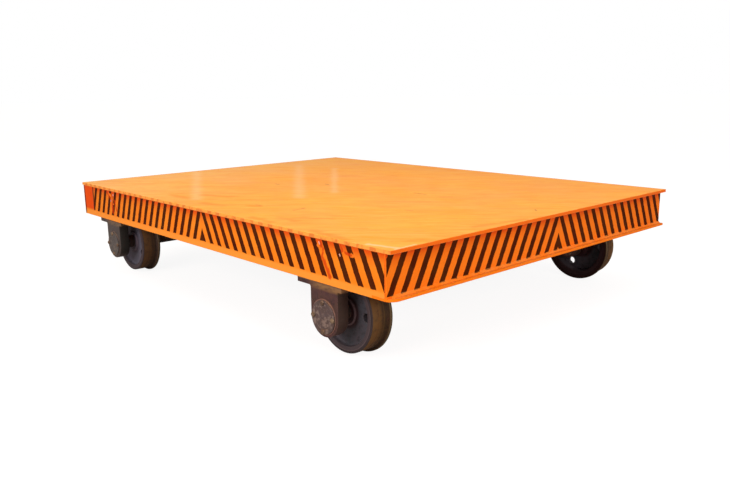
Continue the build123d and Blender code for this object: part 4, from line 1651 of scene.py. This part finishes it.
# %% Cover and ribs of the reducer
cover_outline = [
    (near_axis, -0.002, 0), (0.066, -0.002, 0), (0.066, 0.007, 0.002), (0.040, 0.007, 0.001),
    (0.036, 0.004, 0.001), (near_axis, 0.004, 0),
]
cover = moved(turned(rounded_outline(cover_outline), 48), Matrix.Rotation(math.pi, 4, "Z"))
trim = [moved(cover, Matrix.Translation((rear_x, right_face, shaft_z)))]
rib_half, rib_ends = 0.004, (axle_z + 0.088, shaft_z - 0.068)
for across in (-0.045, 0.0, 0.045):
    rib_x = (rear_x + across - rib_half, rear_x + across + rib_half)
    trim.append(block(rib_x, (right_face - 0.007, right_face + 0.002), rib_ends))
print(len(trim) - 1, "ribs beside the cover")

# %% [markdown]
# The torque arm keeps the reducer from turning with the axle. It is joined by two plates,
# which wear the same paint as the cover, so they become one mesh with it. The bolts are
# bare steel and stay apart.

# %% Plates and bolts of the torque arm
arm_low, arm_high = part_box("torque_arm")
arm_y, joint_x = 0.26, arm_low.x
plate_inset, plate_thickness = 0.035, 0.007
plate_height = (arm_low.z + 0.031, arm_high.z - 0.031)
right_plate = (arm_low.y + plate_inset - plate_thickness, arm_low.y + plate_inset)
left_plate = (arm_high.y - plate_inset, arm_high.y - plate_inset + plate_thickness)
for y_range in (right_plate, left_plate):
    trim.append(block((joint_x - 0.042, joint_x + 0.05), y_range, plate_height))
plates = joined("reducer_cover_and_plates", trim, drive_paint)
bevelled(plates, 0.0015)
dress(plates, "chassis")
arm_bolts = []
for y in (arm_y - 0.048, arm_y + 0.048):
    for z in (arm_low.z + 0.018, arm_high.z - 0.018):
        arm_bolts.append(aimed((arm_high.x - 0.012, y, z), (-1, 0, 0), z))
for facing, y in ((-1, arm_y - 0.037), (1, arm_y + 0.037)):
    for x in (joint_x - 0.022, joint_x + 0.030):
        arm_bolts.append(aimed((x, y, (arm_low.z + arm_high.z) / 2), (0, facing, 0), x))
arm_bolts.append(aimed((rear_x, arm_y, axle_z - 0.150), down))
arm_bolt = bolt_head(0.019, 0.010)
dress(repeated("torque_arm_bolts", arm_bolt, arm_bolts, bolt_steel), "chassis")
print(len(arm_bolts), "bolts on the torque arm, the drain plug among them")

# %% [markdown]
# ## Batteries and controls
# Seen from below, the battery crates show pressed ribs and two skids. The control box shows
# a plate with cable glands, from which the cables lead off inside the frame, and louvres.

# %% Crate floors and lip bolts
lip, rib_count, rib_half = 0.034, 6, 0.022
lip_top = beam_low + section_flange + 0.010
for side in side_sign:
    low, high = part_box(f"battery_pack_{side}")
    inner_x = (low.x + lip, high.x - lip)
    length = high.y - low.y
    parts = []
    for i in range(rib_count):
        y = low.y + length * (i + 0.5) / rib_count
        rib_x, rib_y = (inner_x[0] + 0.07, inner_x[1] - 0.07), (y - rib_half, y + rib_half)
        parts.append(block(rib_x, rib_y, (low.z - 0.004, low.z + 0.002)))
    for x in (inner_x[0] + 0.02, inner_x[1] - 0.05):
        parts.append(block((x, x + 0.03), (low.y + 0.03, high.y - 0.03), (low.z - 0.008, low.z + 0.002)))
    crate_floor = joined(f"crate_floor_{side}", parts, battery_case)
    bevelled(crate_floor, 0.003)
    lip_bolts = [
        aimed((x, low.y + length * share, lip_top), up, share)
        for x in (low.x + lip / 2, high.x - lip / 2) for share in (0.1, 0.37, 0.63, 0.9)
    ]
    crate_bolts = repeated(f"crate_bolts_{side}", small_screw, lip_bolts, bolt_steel)
    for piece in (crate_floor, crate_bolts):
        dress(piece, "chassis")
print("crate floors with", len(parts), "ribs and skids each")

# %% [markdown]
# A louvre is a blade pressed out of the sheet, so three points and a length are enough for
# it. The glands are turned, and all of them are copies of one.

# %% Gland plate and louvres of the control box
box_low, box_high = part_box("control_box")
box_x = (box_low.x + box_high.x) / 2
plate_x, plate_y, plate_bottom = 0.20, 0.07, box_low.z - 0.003
parts = [block((box_x - plate_x, box_x + plate_x), (-plate_y, plate_y), (plate_bottom, box_low.z + 0.002))]
blade_half, blade_corners = 0.09, ((-0.002, 0.010), (0.009, -0.002), (-0.002, -0.002))
for sign in (1, -1):
    for i in range(6):
        z = box_low.z + 0.05 + 0.018 * i
        blade = [
            Vector((box_x + end, sign * (box_high.y + out), z + rise))
            for end in (-blade_half, blade_half) for out, rise in blade_corners
        ]
        parts.append((blade, [(0, 1, 2), (3, 5, 4), (0, 3, 4, 1), (1, 4, 5, 2), (2, 5, 3, 0)]))
panel = joined("gland_plate_and_louvres", parts, control_paint)
bevelled(panel, 0.001)
gland_outline = [
    (near_axis, 0, 0), (0.016, 0, 0), (0.016, 0.010, 0.001), (0.013, 0.012, 0), (0.013, 0.022, 0.004),
    (0.007, 0.024, 0.001), (0.007, 0.014, 0), (near_axis, 0.014, 0),
]
gland = moved(turned(rounded_outline(gland_outline), 24), Matrix.Rotation(math.pi / 2, 4, "X"))
gland_pitch = 0.055
spots = [aimed((box_x + gland_pitch * (i - 2.5), 0, plate_bottom), down) for i in range(6)]
plate_screws = [
    aimed((box_x + across * 0.188, along * 0.058, plate_bottom), down, across)
    for across in (-1, -0.33, 0.33, 1) for along in (-1, 1)
]
glands = repeated("cable_glands", gland, spots, battery_case)
gland_screws = repeated("gland_plate_screws", bolt_head(0.010, 0.005), plate_screws, bolt_steel)
for piece in (panel, glands, gland_screws):
    dress(piece, "chassis")
print(len(spots), "glands and", len(parts) - 1, "louvres")

# %% [markdown]
# The inner housings are held like the outer ones, by bolts through the long beam's flange.
# The blind end of each short axle's bore has a thin cover with four bolts.

# %% Bolts and end covers of the inner housings
bolt_along, bolt_across, end_circle = 0.112, 0.035, 0.048
end_radius, end_thickness = 0.062, 0.006
plate_outline = [
    (near_axis, 0.0, 0), (end_radius, 0.0, 0), (end_radius, end_thickness, 0.002),
    (near_axis, end_thickness, 0),
]
inner_bolt = bolt_head(0.022, 0.011)
for side, sign in side_sign.items():
    bolts = []
    for along in (-bolt_along, bolt_along):
        for y in (main_y - bolt_across, main_y + bolt_across):
            spot = (axle_x["front"] + along, sign * y)
            bolts.append(aimed((*spot, inner_high.z - inner_foot), down, along))
            bolts.append(aimed((*spot, flange_root), up, along))
    end_centre = (axle_x["front"], sign * (inner_low.y - end_thickness), axle_z)
    for i in range(4):
        spot = on_circle(end_centre, end_circle, math.radians(45 + 90 * i))
        bolts.append(aimed(spot, (0, -sign, 0), i))
    plate = new_piece(f"inner_cover_{side}", *turned(rounded_outline(plate_outline), 64), cap_primer)
    plate.location = (axle_x["front"], sign * inner_low.y, axle_z)
    plate.rotation_euler.z = math.pi if sign > 0 else 0
    bolt_set = repeated(f"inner_bolts_{side}", inner_bolt, bolts, bolt_steel)
    for piece in (plate, bolt_set):
        dress(piece, "chassis")
print(len(bolts), "bolts and nuts on each inner housing")
